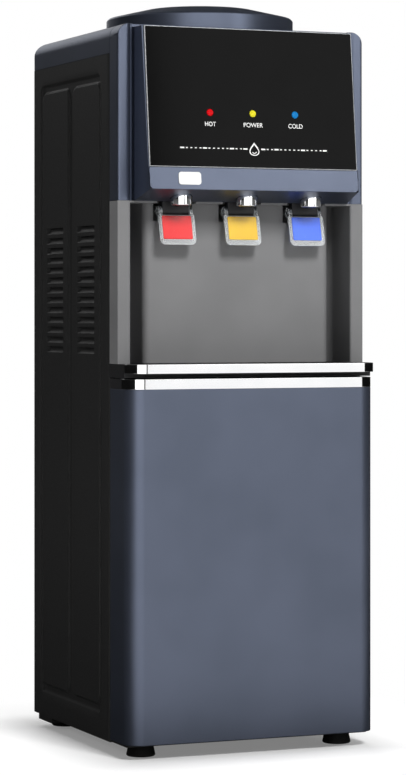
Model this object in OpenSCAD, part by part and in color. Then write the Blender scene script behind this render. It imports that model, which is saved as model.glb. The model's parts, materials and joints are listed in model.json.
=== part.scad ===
// Free-standing water dispenser with a bottle collar on top, three push-back taps for hot, room and
// cold water, a pull-out drip tray and a storage cabinet below.
// Millimetres. Z is up, the front faces -Y, and the origin lies on the floor under the middle of
// the overall box.

/* [Cabinet] */
// Width over the side panels
body_w = 360; // [345:1:400]
// Depth of a side panel, from its front seam to its rear edge
panel_d = 302; // [300:1:340]
// Depth of the front shell, from the seam to its flat face
shell_d = 30; // [28:1:36]
// Thickness of the steel sheet
sheet_t = 1.5; // [1:0.1:2]
// Wall of the moulded pieces
wall = 2.5; // [2:0.1:3]
// Clearance between pieces that slide or lift past each other
gap = 0.3; // [0.2:0.05:0.4]
// Radial clearance of a pin in its running bore
pin_play = 0.06; // [0.02:0.01:0.1]
// How far the rear panel lies inside the rear edge of the sides
rear_recess = 14; // [12:1:20]

/* [Base] */
// Height of the feet
foot_h = 16; // [14:1:20]
// Radius of a foot at the floor
foot_r = 19.5; // [16:0.5:22]
// Distance of a foot's centre from the side face
foot_inset = 36; // [30:1:44]
// Distance of a front foot's centre behind the flat face
foot_front = 8; // [6:1:12]
// Distance of a rear foot's centre ahead of the rear edge
foot_rear = 32; // [28:1:40]
// Radius of a foot's stud
stud_r = 4; // [3:0.5:5]
// Thickness of the base plate
base_t = 2.5; // [2:0.1:3]
// Height of the base pan's upright edges
base_edge = 20; // [14:1:24]
// Width of the rear rail under the base
rail_w = 70; // [66:1:80]
// Drop of the rear rail below the base plate
rail_drop = 7; // [4:0.5:9]

/* [Door] */
// How far the door front stands ahead of the flat face
door_proud = 42; // [38:1:56]
// Corner radius of the door and tray fronts, seen from above
front_r = 23; // [16:1:30]
// Height of the door below its top rail
door_h = 467.5; // [420:0.5:500]
// Height of the door's top rail and its trim
rail_h = 13.5; // [11:0.5:18]
// Thickness of the chrome trims
trim_t = 2; // [1.5:0.1:2.5]
// Gap under the door
door_gap = 1.5; // [1:0.1:3]
// Gap behind the door at the seam
seam_gap = 2; // [1.8:0.1:3]
// Distance of the hinge axis from the right side face
hinge_in = 12; // [11:0.5:12]
// Distance of the hinge axis ahead of the seam
hinge_out = 40; // [39:1:44]
// Radius of a hinge pin
hinge_r = 3; // [2.5:0.1:3.5]
// Depth of a hinge pin in the door
hinge_h = 9; // [6:0.5:11]
// How far the door trim's side return ends ahead of the flat face
door_return = 14; // [10:1:18]
// Length of the finger pull behind the trim
pull_w = 240; // [180:1:280]
// Depth of the finger pull into the rail
pull_d = 9; // [6:0.5:10]

/* [Drip tray] */
// How far the tray front stands ahead of the door front
tray_proud = 8; // [4:1:12]
// Height of the finger groove between the door and the tray
groove_h = 7.3; // [6:0.1:9]
// Height of the tray front
tray_h = 12.2; // [12:0.1:16]
// Distance of the tray pan from the side faces
tray_side = 30; // [27:1:40]
// How far the tray trim's side return ends ahead of the flat face
tray_return = 24; // [20:1:26]
// Gap between the door rail and the deck
deck_gap = 1.2; // [1:0.1:2]
// Thickness of the grille
grille_t = 3; // [2.5:0.1:4]
// Width of a grille slot
slot_w = 7; // [5:0.5:8]
// Spacing of the grille slots
slot_pitch = 12; // [11:0.5:16]

/* [Niche] */
// Height of the dispensing niche
niche_h = 216.5; // [190:0.5:240]
// Depth of the niche behind the flat face
niche_d = 75; // [70:1:80]
// Width of the flat strips beside the niche
strip_w = 18.6; // [16:0.2:22]
// Corner radius at the back of the niche
niche_r = 22; // [12:1:30]
// Radius of the strips' inner edges
strip_r = 3; // [2:0.5:5]
// Distance of the raised middle of the niche's back behind the flat face
swell_in = 16; // [14:0.5:24]
// Width of the channels beside the raised middle
swell_side = 25; // [23:0.5:30]
// Radius of the raised middle's upright edges
swell_r = 10; // [6:0.5:12]

/* [Head] */
// Height of the head above the niche
head_h = 235.5; // [222:0.5:260]
// Radius of the upper edges of the head and the top cover
top_r = 18; // [10:1:22]
// Width of a cheek with its rounded inner edge
cheek_w = 21.5; // [17:0.5:24]
// Radius of a cheek's inner edge, which is also the depth of the groove beside the wedge
cheek_r = 10; // [7:0.5:10]
// Width of the groove between cheek and wedge
cheek_gap = 2.5; // [2:0.5:5]
// Draft of the wedge's sides, from its base to its front
wedge_draft = 4.5; // [4:0.5:9]
// How far the wedge's front stands ahead of the flat face at the top
wedge_top = 22.5; // [20:0.5:34]
// How far the wedge's top lies below the top cover's
wedge_down = 4.5; // [2:0.5:8]
// How far the wedge's front stands ahead of the flat face at its lower edge
wedge_low = 45.6; // [42:0.2:54]
// Height of the slanted underside
lip_h = 14; // [10:0.5:16]
// Height of the plain band under the glass
band_h = 29.5; // [24:0.5:36]
// Radius of the band's lower corners
band_r = 4; // [2:0.5:6]
// Thickness of the glass
glass_t = 3; // [2.5:0.1:4]
// Height of the lamps above the glass's lower edge
lamp_up = 74; // [60:1:90]
// Spacing of the lamps
lamp_pitch = 62; // [50:1:75]
// Radius of a lamp lens
lamp_r = 4.7; // [3:0.1:6]
// Width of the badge
badge_w = 32; // [24:1:40]
// Height of the badge
badge_h = 17; // [12:1:20]
// Corner radius of the badge
badge_r = 4; // [2:0.5:6]
// Thickness of the badge
badge_t = 1.2; // [0.8:0.1:2]

/* [Taps] */
// Spacing of the taps
tap_pitch = 95; // [86:1:98]
// Radius of a chrome spout
spout_r = 14.6; // [13:0.2:15.4]
// Distance of the spouts ahead of the flat face
spout_out = 14; // [12:0.5:16]
// How far a spout ends below the head
spout_drop = 6; // [4:0.5:9]
// Radius of the nozzle in a spout
nozzle_r = 8; // [7:0.5:10]
// Radius of the water way
way_r = 4; // [3:0.5:5]
// Distance of the lever pins behind the flat face
pivot_in = 10.5; // [10:0.5:12]
// Distance of the lever pins below the head
pivot_drop = 13; // [12:0.5:15]
// Radius of a lever pin
pivot_r = 2; // [1.5:0.1:2.4]
// Radius of the lug that holds a lever pin
lug_r = 5.5; // [4.5:0.1:5.6]
// Half width of a lug
lug_half = 19; // [17:0.5:20]
// Thickness of a lever's ear
ear_t = 5; // [4:0.5:6]
// Radius of a lever's ear
ear_r = 6.5; // [5.5:0.1:7]
// Lean of the paddle, its lower edge forward
paddle_lean = 13; // [8:1:16]
// Half width of a paddle
paddle_half = 26; // [25:0.5:28]
// Distance of the paddle's upper edge below the pin
paddle_up = 6.5; // [6.3:0.1:8]
// Distance of the paddle's lower edge below the pin
paddle_low = 47.5; // [44:0.5:56]
// Distance of the paddle's back ahead of the pin
paddle_out = 2.25; // [2:0.05:3]
// Thickness of a paddle
paddle_t = 4.5; // [4:0.1:6]
// Corner radius of a paddle
paddle_r = 7.5; // [3:0.5:8]
// Width of a coloured plate
plate_w = 42; // [36:0.5:46]
// Height of a coloured plate
plate_h = 32; // [28:0.5:34]
// Thickness of a coloured plate
plate_t = 1.5; // [1:0.1:2]
// Distance of the lift bar behind the pin
lift_arm = 10; // [9.5:0.5:11]
// Radius of a valve stem
stem_r = 2; // [1.5:0.1:2.5]
// Radius of a valve disc
disc_r = 6; // [5:0.5:6.5]
// Height of a tap's valve block
block_h = 28; // [24:1:34]

/* [Top] */
// Height of the top cover's skirt
skirt_h = 38.5; // [28:0.5:44]
// Radius of the bottle collar
collar_r = 130; // [115:1:134]
// Height of the collar's upright band
collar_h = 23.5; // [20:0.5:34]
// Rise of the collar's cone
cone_h = 12; // [8:0.5:18]
// Distance of the collar's axis behind the flat face
collar_back = 149; // [140:1:156]
// Radius of the collar's mouth
mouth_r = 72; // [66:1:80]
// Width of the ledge that holds the funnel
ledge_w = 6; // [4:0.5:8]
// Depth of that ledge below the collar's rim
ledge_down = 16; // [12:1:20]
// Radius of the collar's spigot in the top cover
spigot_r = 96; // [90:1:100]
// Length of the spigot below the top cover's upper face
spigot_h = 14; // [8:1:20]
// Inner radius of the funnel's neck
neck_r = 30; // [28:0.5:34]
// Depth of the funnel below its flange
funnel_h = 78; // [70:1:80]
// Height of the funnel's neck
neck_h = 46; // [36:1:52]
// Radius of the spike
spike_r = 8; // [6:0.5:10]
// Height of the spike above the funnel's floor
spike_h = 62; // [50:1:68]

/* [Side pressing] */
// Depth of the pressed field
press_d = 4; // [3:0.5:5]
// Width of the bevels round the pressings
press_bevel = 4; // [3:0.5:6]
// Margin of the field at the front
field_front = 34; // [28:1:44]
// Margin of the field at the rear
field_rear = 28; // [24:1:36]
// Margin of the field at the top
field_top = 23.5; // [18:0.5:32]
// Margin of the field at the bottom
field_low = 32.5; // [28:0.5:44]
// Gap between the field's edge and a raised panel, front and rear
raise_side = 7; // [5:0.5:10]
// Gap between the field's edge and a raised panel, top and bottom
raise_end = 14; // [10:0.5:18]
// Gap between the two raised panels
raise_gap = 20; // [12:1:24]
// How far a raised panel stays below the outer face
raise_down = 0.5; // [0.2:0.1:1]
// Number of louvres in a column
louvre_n = 13; // [8:1:15]
// Spacing of the louvres
louvre_pitch = 13.8; // [12:0.1:15]
// Width of a louvre
louvre_w = 67; // [50:1:76]
// Height of a louvre
louvre_h = 8.5; // [7:0.1:10]
// Depth of a louvre
louvre_d = 5; // [4:0.1:6]
// Distance of the lowest louvre above the flat floor of the niche
louvre_up = 12; // [4:1:20]

/* [Inside] */
// Height of the tank shelf above the niche floor
shelf_up = 184; // [178:1:190]
// Height of the cold tank
tank_h = 184; // [160:1:186]
// Thickness of the insulation round the cold tank
foam_t = 21; // [16:0.5:30]
// Thickness of the insulation under the cold tank
foam_low = 8; // [5:0.5:12]
// Radius of the hot tank
hot_r = 50; // [40:1:54]
// Height of the hot tank
hot_h = 150; // [120:1:160]
// Height of the stand under the hot tank
hot_stand = 18; // [10:1:22]
// Height of the heater band
band_heat_h = 30; // [20:1:40]
// Radius of a water tube
tube_r = 5; // [4.5:0.1:6]
// Radius of the drain pipe
drain_r = 7; // [5:0.5:8]
// Side of the thermoelectric plate
cool_w = 40; // [30:1:50]
// Thickness of the thermoelectric plate
cool_t = 4; // [3:0.5:5]
// Side of the heat sink and the fan
sink_w = 120; // [100:1:124]
// Number of fins
fin_n = 15; // [9:2:17]
// Length of the fins
fin_h = 23.4; // [16:0.2:30]
// Thickness of the fan
fan_t = 15; // [12:1:16]
// Number of fan blades
blade_n = 7; // [5:2:9]

/* [Hidden] */
$fn = 64;

// Colours
slate = [0.39, 0.41, 0.47];
slate_dark = [0.22, 0.23, 0.27];
black_steel = [0.14, 0.14, 0.14];
niche_grey = [0.51, 0.51, 0.51];
dark_grey = [0.18, 0.18, 0.19];
chrome = [0.85, 0.86, 0.88];
steel = [0.7, 0.71, 0.72];
white = [0.93, 0.94, 0.94];
clear = [0.85, 0.88, 0.9, 0.5];
red = [0.95, 0.2, 0.2];
yellow = [0.97, 0.78, 0.2];
blue = [0.3, 0.48, 0.95];
foam_white = [0.9, 0.9, 0.86];
board_green = [0.1, 0.35, 0.2];

// A cut reaches past the face that it opens by this much
over = 1;

// Main planes, front to back
half_w = body_w / 2;
depth = tray_proud + door_proud + shell_d + panel_d;
tray_y = -depth / 2;
door_y = tray_y + tray_proud;
face_y = door_y + door_proud;
seam_y = face_y + shell_d;
rear_y = seam_y + panel_d;
rear_out = rear_y - rear_recess;
rear_in = rear_out - sheet_t;
niche_back = face_y + niche_d + wall;

// Main levels, floor to top
base_top = foot_h + base_t;
door_z = base_top + door_gap;
rail_z = door_z + door_h;
groove_z = rail_z + rail_h;
tray_z = groove_z + groove_h;
niche_z = tray_z + tray_h;
head_z = niche_z + niche_h;
top_z = head_z + head_h;
skirt_z = top_z - skirt_h;
collar_z = top_z + collar_h;
rim_z = collar_z + cone_h;

// Places shared by several pieces
foot_x = half_w - foot_inset;
foot_places = [for (x = [-foot_x, foot_x]) for (y = [face_y + foot_front, rear_y - foot_rear]) [x, y]];
hinge_x = half_w - hinge_in;
hinge_y = seam_y - hinge_out;
hinge_boss = 10;
hinge_wall = 4;
door_back = seam_y - seam_gap;
deck_front = face_y - tray_return;
deck_z = groove_z + deck_gap;
tray_half = half_w - tray_side;
pan_z = deck_z + wall + gap;
pan_back = niche_back - 2 * wall;
grille_half = tray_half - 2 * wall;
grille_front = tray_y + front_r;
grille_back = face_y + swell_in - wall;
niche_half = half_w - strip_w;
swell_half = niche_half - swell_side;
taps = [-tap_pitch, 0, tap_pitch];
pivot_y = face_y + pivot_in;
pivot_z = head_z - pivot_drop;
plate_margin = 1;
plate_down = paddle_up + plate_margin;
paddle_play = 2;
spout_y = face_y - spout_out;
spout_z = head_z - spout_drop;
stem_y = pivot_y + lift_arm;
collar_y = face_y + collar_back;
funnel_z = rim_z - ledge_down;
funnel_floor = funnel_z - funnel_h;

// The wedge of the head: its tilted front and its slanted underside as straight lines
wedge_base = half_w - cheek_w - cheek_gap;
wedge_half = wedge_base - wedge_draft;
lip_z = head_z + lip_h;
wedge_z = top_z - wedge_down;
wedge_tilt = atan((wedge_low - wedge_top) / (wedge_z - lip_z));
lip_angle = atan(lip_h / wedge_low);
glass_z = lip_z + band_h;
function front_at(z) = face_y - wedge_low + (z - lip_z) * tan(wedge_tilt);
function lip_at(y) = head_z + (face_y - y) * tan(lip_angle);
glass_h = (wedge_z - glass_z) / cos(wedge_tilt);
glass_edge = 0.2;

// Tap block, above the inner face of the slanted underside
block_wall = 4;
block_front = spout_y - nozzle_r - block_wall;
block_back = stem_y + disc_r + block_wall;
block_half = disc_r + 2 * block_wall;
block_z = lip_at(block_front) + wall / cos(lip_angle) + gap;
block_top = block_z + block_h;
guide_r = stem_r + wall;
guide_drop = 2;
guide_z = head_z - guide_drop;
nozzle_z = spout_z - guide_drop;
barb_h = 6;
tube_wall = 1.5;
bar_r = 2;
stem_foot = pivot_z + bar_r + gap;
chamber_floor = 5;
chamber_z = block_z + chamber_floor;
chamber_h = 12;
disc_t = 3;

// Inside pieces
flange_rear = 15;
liner_side = 12.5;
shelf_half = half_w - flange_rear - gap;
mid_down = 14;
mid_z = niche_z - mid_down;
mid_edge = 6;
mid_top = mid_z + sheet_t;
shelf_z = niche_z + shelf_up;
shelf_top = shelf_z + sheet_t;
shelf_edge = 12;
fan_y = rear_in - gap - fan_t;
cold_block = 10;
sink_base = 4;
cool_stack = cold_block + cool_t + sink_base + fin_h;
// The insulated tank fills the depth between the niche and the cooling stack
tank_r = (fan_y - cool_stack - niche_back - gap - foam_t) / 2;
foam_r = tank_r + foam_t;
tank_y = niche_back + gap + foam_r;
tank_z = shelf_top + foam_low;
tank_top = tank_z + tank_h;
drain_up = 4;
plug_in = 8;
plug_y = rear_y - plug_in;
drain_z = tank_z + drain_r + drain_up;
hot_x = -tap_pitch;
hot_back = 28;
hot_y = niche_back + hot_r + hot_back;
hot_z = mid_top + hot_stand;
hot_top = hot_z + hot_h;
hot_port_y = hot_y - 3 * hot_r / 4;
stand_r = hot_r - 3 * tube_r;
sink_up = 12;
cool_z = drain_z + drain_r + sink_up + sink_w / 2;
sink_back = fan_y;
block_flat = tank_y + tank_r + cold_block;
sink_front = block_flat + cool_t;
fin_t = 1.4;
fan_rim = 5;
fan_bore = sink_w / 2 - fan_rim;
hub_r = 18;
hub_t = 2;
axle_r = 2;
axle_end = 3;
blade_gap = 2;
blade_r = fan_bore - blade_gap;
blade_t = 2;
blade_pitch = 35;
blade_depth = fan_t / 2;
panel_up = 1;
panel_z = foot_h + panel_up;
rear_rise = 12;
rear_top = skirt_z + rear_rise;
inlet_in = 60;
inlet_up = 40;
inlet_x = half_w - inlet_in;
inlet_z = niche_z + inlet_up;
inlet_w = 30;
inlet_h = 24;
inlet_d = 20;
inlet_wall = 3;
inlet_rim = 4;
lip = 1.5;
switch_w = 14;
switch_h = 22;
switch_up = 45;
switch_pitch = 35;
switch_z = [inlet_z + switch_up, inlet_z + switch_up + switch_pitch];
bezel = 3;
rocker_in = 4;
rocker_y = rear_out - rocker_in;
screw_r = 1.6;
head_r = 3.6;
screw_h = 2;
screw_len = 4;
screw_x = 9.8;
screw_n = 5;
screw_end = 40;
screw_step = (rear_top - foot_h - 2 * screw_end) / (screw_n - 1);
screw_z = [for (i = [0 : screw_n - 1]) foot_h + screw_end + i * screw_step];

// Side panel, in a frame with its outer face at x = 0, its front edge at y = 0 and z as in the body
field_y = [field_front, panel_d - field_rear];
field_z = [panel_z + field_low, skirt_z - field_top];
raise_w = (field_y[1] - field_y[0] - 2 * raise_side - raise_gap) / 2;
raise_y = [field_y[0] + raise_side, field_y[0] + raise_side + raise_w + raise_gap];
raise_z = [field_z[0] + raise_end, field_z[1] - raise_end];
flange_w = 8;
rear_flange = panel_d - rear_recess - sheet_t;
louvre_z = niche_z + louvre_up;

// Block from its lowest to its highest corner
module block(low, high) {
    translate(low) cube(high - low);
}

// Block across the middle, x to either side
module across(x, y0, y1, z0, z1) {
    block([-x, y0, z0], [x, y1, z1]);
}

// Outline drawn in Y and Z, run along X
module along_x(x0, x1) {
    translate([x0, 0, 0]) rotate([90, 0, 90]) linear_extrude(x1 - x0) children();
}

// Outline drawn in X and Z, run along Y
module along_y(y0, y1) {
    translate([0, y1, 0]) rotate([90, 0, 0]) linear_extrude(y1 - y0) children();
}

// Outline drawn in X and Y, run along Z
module along_z(z0, z1) {
    translate([0, 0, z0]) linear_extrude(z1 - z0) children();
}

// Rod along X, centred on x = 0 and set at a place in Y and Z
module rod_x(half, y, z, r) {
    translate([-half, y, z]) rotate([0, 90, 0]) cylinder(h = 2 * half, r = r);
}

// Rod along Y
module rod_y(x, z, y0, y1, r) {
    translate([x, y1, z]) rotate([90, 0, 0]) cylinder(h = y1 - y0, r = r);
}

// Outline with both corners on its low side rounded
module round_low(x, y0, y1, r) {
    translate([-x, y0 + r]) square([2 * x, y1 - y0 - r]);
    translate([r - x, y0]) square([2 * (x - r), y1 - y0]);
    intersection() {
        for (s = [-1, 1]) translate([s * (x - r), y0 + r]) circle(r = r);
        translate([-x, y0]) square([2 * x, r]);
    }
}

// Outline with both corners on its high side rounded
module round_high(x, y0, y1, r) {
    translate([-x, y0]) square([2 * x, y1 - y0 - r]);
    translate([r - x, y0]) square([2 * (x - r), y1 - y0]);
    intersection() {
        for (s = [-1, 1]) translate([s * (x - r), y1 - r]) circle(r = r);
        translate([-x, y1 - r]) square([2 * x, r]);
    }
}

// Outline with all four corners rounded
module round_all(x, y0, y1, r) {
    round_low(x, y0, y1 - r, r);
    round_high(x, y0 + r, y1, r);
}

// Base

module base_pan() {
    inner = half_w - sheet_t;
    front = seam_y + sheet_t + gap;
    color(black_steel) difference() {
        union() {
            across(inner, front, rear_in, foot_h, base_top);
            across(foot_x + foot_r, hinge_y - hinge_boss, front + over, foot_h, base_top);
            across(hinge_x + hinge_r + hinge_wall, hinge_y - hinge_boss, seam_y - gap, foot_h, base_top);
            for (s = [-1, 1]) mirror([s < 0 ? 1 : 0, 0, 0])
                block([inner - sheet_t, front, foot_h], [inner, rear_in, foot_h + base_edge]);
            across(inner, rear_in - sheet_t, rear_in, foot_h, foot_h + base_edge);
            difference() {
                across(inner, rear_y - rail_w, rear_in, foot_h - rail_drop, foot_h);
                across(inner - wall, rear_y - rail_w + wall, rear_in - wall, foot_h - rail_drop - over,
                    foot_h);
                for (p = foot_places) translate([p[0], p[1], 0]) cylinder(h = foot_h, r = foot_r + gap);
            }
        }
        for (p = foot_places)
            translate([p[0], p[1], foot_h - over]) cylinder(h = base_t + 2 * over, r = stud_r + pin_play);
        translate([hinge_x, hinge_y, foot_h - over]) cylinder(h = base_t + 2 * over, r = hinge_r);
    }
}

module foot() {
    chamfer = 1.5;
    rotate_extrude() polygon([[0, 0], [foot_r - chamfer, 0], [foot_r, chamfer],
        [foot_r - 2 * chamfer, foot_h], [stud_r, foot_h], [stud_r, base_top], [0, base_top]]);
}

module feet() {
    color(dark_grey) for (p = foot_places) translate([p[0], p[1], 0]) foot();
}

// Side panels

// Shallow pressing with bevelled sides from x0 to x1, wider than its outline by b0 and b1 there
module pressing(y, z, x0, x1, b0, b1) {
    b = max(b0, b1);
    intersection() {
        along_z(z[0] - b, z[1] + b)
            polygon([[x0, y[0] - b0], [x1, y[0] - b1], [x1, y[1] + b1], [x0, y[1] + b0]]);
        along_y(y[0] - b, y[1] + b)
            polygon([[x0, z[0] - b0], [x1, z[0] - b1], [x1, z[1] + b1], [x0, z[1] + b0]]);
    }
}

// Everything behind the pressed outer face, larger by grow at its edges
module panel_form(grow) {
    slope = press_bevel / press_d;
    deep = press_d + sheet_t;
    difference() {
        block([0, -grow, panel_z - grow], [deep + sheet_t, panel_d + grow, skirt_z + grow]);
        pressing(field_y, field_z, -over, press_d, slope * over, -press_bevel);
    }
    for (y = raise_y)
        pressing([y, y + raise_w], raise_z, raise_down, deep, 0, slope * (deep - raise_down));
}

// Louvre pressed inward, with its slit at the top
module louvre() {
    low = [raise_down, 0];
    high = [raise_down + louvre_d, louvre_h];
    thick = [sheet_t, 0];
    along_y(0, louvre_w) polygon([low, high, high + thick, low + thick]);
    for (y = [0, louvre_w - sheet_t])
        along_y(y, y + sheet_t) polygon([low, high + thick, [raise_down, louvre_h]]);
}

module at_louvres() {
    for (y = raise_y) for (i = [0 : louvre_n - 1])
        translate([0, y + (raise_w - louvre_w) / 2, louvre_z + i * louvre_pitch]) children();
}

module side_panel() {
    color(black_steel) union() {
        difference() {
            panel_form(0);
            translate([sheet_t, 0, 0]) panel_form(over);
            at_louvres() block([0, 0, 0], [press_d, louvre_w, louvre_h]);
        }
        at_louvres() louvre();
        block([0, 0, panel_z], [flange_w, sheet_t, skirt_z]);
        difference() {
            block([0, rear_flange - sheet_t, foot_h + base_edge + gap], [flange_rear, rear_flange, skirt_z]);
            for (z = screw_z)
                rod_y(screw_x, z, rear_flange - sheet_t - over, rear_flange + over, screw_r + pin_play);
        }
    }
}

module left_side_panel() {
    translate([-half_w, seam_y, 0]) side_panel();
}

module right_side_panel() {
    mirror([1, 0, 0]) left_side_panel();
}

// Rear

module rear_slots() {
    slots = 11;
    pitch = 9;
    bridge = 2;
    for (i = [0 : slots - 1]) {
        z = cool_z + (i - (slots - 1) / 2) * pitch;
        half = sqrt(pow(fan_bore, 2) - pow(z - cool_z, 2)) - bridge;
        across(half, rear_in - over, rear_out + over, z - pitch / 4, z + pitch / 4);
    }
}

module rear_panel() {
    color(black_steel) difference() {
        union() {
            across(half_w - sheet_t - gap, rear_in, rear_out, base_top + gap, skirt_z - gap);
            across(half_w - wall - gap, rear_in, rear_out, base_top + gap, rear_top);
        }
        rear_slots();
        rod_y(0, drain_z, rear_in - over, rear_out + over, drain_r + gap);
        translate([inlet_x, 0, inlet_z])
            across(inlet_w / 2 + gap, rear_in - over, rear_out + over, -inlet_h / 2 - gap, inlet_h / 2 + gap);
        for (z = switch_z) translate([inlet_x, 0, z])
            across(switch_w / 2 + bezel / 2, rear_in - over, rear_out + over, -switch_h / 2 - bezel / 2,
                switch_h / 2 + bezel / 2);
        for (s = [-1, 1]) for (z = screw_z)
            rod_y(s * (half_w - screw_x), z, rear_in - over, rear_out + over, screw_r + pin_play);
    }
}

module panel_screws() {
    color(steel) for (s = [-1, 1]) for (z = screw_z) {
        rod_y(s * (half_w - screw_x), z, rear_in - screw_len, rear_out + over, screw_r);
        rod_y(s * (half_w - screw_x), z, rear_out, rear_out + screw_h, head_r);
    }
}

// Top

// Cover with rounded upper edges at the sides and at the rear, smaller by the inset
module cover_form(inset, y0) {
    intersection() {
        along_y(y0, rear_y - inset) round_high(half_w - inset, skirt_z - inset, top_z - inset, top_r - inset);
        along_x(-half_w, half_w) {
            translate([y0, skirt_z - inset]) square([rear_y - inset - y0 - top_r + inset, skirt_h]);
            translate([y0, skirt_z - inset]) square([rear_y - inset - y0, skirt_h - top_r + inset]);
            translate([rear_y - top_r, top_z - top_r]) circle(r = top_r - inset);
        }
    }
}

module top_cover() {
    color(slate_dark) difference() {
        cover_form(0, seam_y);
        cover_form(wall, seam_y - over);
        translate([0, collar_y, skirt_z]) cylinder(h = skirt_h + over, r = spigot_r + gap);
    }
}

module bottle_collar() {
    edge = 2.5;
    ledge_z = rim_z - ledge_down;
    cone_r = mouth_r + 2 * wall;
    slope = cone_h / (collar_r - edge - cone_r);
    under_z = rim_z - 1.5 * wall;
    color(slate) translate([0, collar_y, 0]) rotate_extrude() polygon([
        [collar_r, top_z], [collar_r, collar_z - edge], [collar_r - edge, collar_z], [cone_r, rim_z],
        [mouth_r, rim_z], [mouth_r, ledge_z], [mouth_r - ledge_w, ledge_z],
        [mouth_r - ledge_w, ledge_z - wall], [mouth_r + wall, ledge_z - wall], [mouth_r + wall, under_z],
        [spigot_r - wall, under_z - slope * (spigot_r - wall - cone_r)], [spigot_r - wall, top_z - spigot_h],
        [spigot_r, top_z - spigot_h], [spigot_r, under_z - slope * (spigot_r - cone_r)],
        [collar_r - wall, under_z - slope * (collar_r - wall - cone_r)], [collar_r - wall, top_z]]);
}

module bottle_funnel() {
    lip_r = mouth_r - gap;
    throat = mouth_r - ledge_w - gap;
    neck_top = funnel_floor + neck_h;
    socket = spike_r + pin_play;
    color(white) translate([0, collar_y, 0]) rotate_extrude() polygon([
        [socket, funnel_floor], [neck_r, funnel_floor], [neck_r, neck_top], [throat - wall, funnel_z - wall],
        [throat - wall, funnel_z + wall], [lip_r, funnel_z + wall], [lip_r, funnel_z], [throat, funnel_z],
        [throat, funnel_z - wall], [neck_r + wall, neck_top - wall], [neck_r + wall, funnel_floor - wall],
        [socket, funnel_floor - wall]]);
}

module bottle_spike() {
    tip = 7;
    flange = 4;
    dip = 10;
    foot_z = tank_top - dip;
    top = funnel_floor + spike_h;
    port_z = top - 3 * tip;
    color(white) translate([0, collar_y, 0]) difference() {
        union() {
            translate([0, 0, foot_z]) cylinder(h = top - tip - foot_z, r = spike_r);
            translate([0, 0, top - tip]) cylinder(h = tip, r1 = spike_r, r2 = spike_r / 2);
            translate([0, 0, funnel_floor]) cylinder(h = wall, r = spike_r + flange);
        }
        translate([0, 0, foot_z - over]) cylinder(h = top - tip - foot_z, r = spike_r - wall);
        for (turn = [0, 90]) rotate([0, 0, turn]) rod_x(spike_r + over, 0, port_z, spike_r / 3);
    }
}

// Head

// Frame of the tilted front: z runs up the glass, y runs inward, and the origin is the glass's lower edge
module on_front() {
    translate([0, front_at(glass_z), glass_z]) rotate([-wedge_tilt, 0, 0]) children();
}

// Cheeks and back wall seen from above, smaller by the inset
module head_plan(inset) {
    edge = wall + 1;
    x = half_w - inset;
    round_y = face_y + cheek_r;
    flat_x = half_w - cheek_w + cheek_r;
    for (s = [-1, 1]) {
        translate([s * (flat_x + (x - edge - flat_x) / 2), (face_y + inset + seam_y + over) / 2])
            square([x - edge - flat_x, seam_y + over - face_y - inset], center = true);
        translate([s * (half_w - edge), face_y + edge]) circle(r = edge - inset);
        translate([s * flat_x, round_y]) circle(r = cheek_r - inset);
    }
    translate([-x, face_y + edge]) square([2 * x, seam_y + over - face_y - edge]);
}

module wedge_form(inset_front, inset_low, inset_side, y1) {
    low = face_y - wedge_low;
    front = inset_front / cos(wedge_tilt);
    under = inset_low / cos(lip_angle);
    // Where the inset front meets the inset underside
    meet_y = (low + front + (head_z + under + face_y * tan(lip_angle) - lip_z) * tan(wedge_tilt))
        / (1 + tan(lip_angle) * tan(wedge_tilt));
    meet_z = lip_at(meet_y) + under;
    roof = wedge_z - inset_side;
    plan_x = wedge_half - inset_side;
    base_x = wedge_base - inset_side;
    intersection() {
        along_x(-half_w, half_w) polygon([[y1, head_z + under], [face_y, head_z + under], [meet_y, meet_z],
            [front_at(roof) + front, roof], [y1, roof]]);
        along_z(head_z - over, top_z + over) polygon([[-plan_x, low], [plan_x, low], [base_x, face_y],
            [base_x, y1], [-base_x, y1], [-base_x, face_y]]);
    }
}

module head_housing() {
    window = wedge_base - 3 * wall;
    back = face_y + cheek_r + wall;
    color(slate) difference() {
        union() {
            difference() {
                intersection() {
                    along_z(head_z, top_z) head_plan(0);
                    along_y(face_y - over, seam_y) round_high(half_w, head_z, top_z, top_r);
                    union() {
                        across(half_w, face_y + cheek_r, seam_y, head_z, top_z);
                        for (s = [-1, 1]) mirror([s < 0 ? 1 : 0, 0, 0])
                            block([half_w - cheek_w, face_y - over, head_z], [half_w, seam_y, top_z]);
                    }
                }
                intersection() {
                    along_z(head_z - over, top_z) head_plan(wall);
                    along_y(face_y, seam_y + over)
                        round_high(half_w - wall, head_z - over, top_z - wall, top_r - wall);
                    union() {
                        across(half_w, back, seam_y + over, head_z - over, top_z);
                        for (s = [-1, 1]) mirror([s < 0 ? 1 : 0, 0, 0])
                            block([half_w - cheek_w + wall, face_y, head_z - over],
                                [half_w, seam_y + over, top_z]);
                    }
                }
            }
            intersection() {
                wedge_form(0, 0, 0, back);
                along_y(face_y - wedge_low - over, back + over) union() {
                    round_low(wedge_half, lip_z, wedge_z, band_r);
                    translate([-half_w, head_z - over]) square([body_w, lip_h + over]);
                    translate([-half_w, head_z]) square([half_w - wedge_half, head_h]);
                    translate([wedge_half, head_z]) square([half_w - wedge_half, head_h]);
                }
            }
        }
        wedge_form(glass_t + wall, wall, wall, back + over);
        across(window, face_y + cheek_r - over, back + over, head_z - over, wedge_z - wall);
        on_front() across(half_w, -wedge_low, glass_t, 0, glass_h + over);
        for (i = [-1 : 1]) on_front() rod_y(i * lamp_pitch, lamp_up, -over, glass_t + 2 * wall, lamp_r + gap);
        for (x = taps) translate([x, spout_y, head_z - over])
            cylinder(h = lip_h + 2 * wall, r = spout_r + gap);
        for (x = taps) block([x - lug_half - gap, pivot_y - lug_r - gap, head_z - over],
            [x + lug_half + gap, back + over, head_z + 3 * wall]);
    }
}

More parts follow.
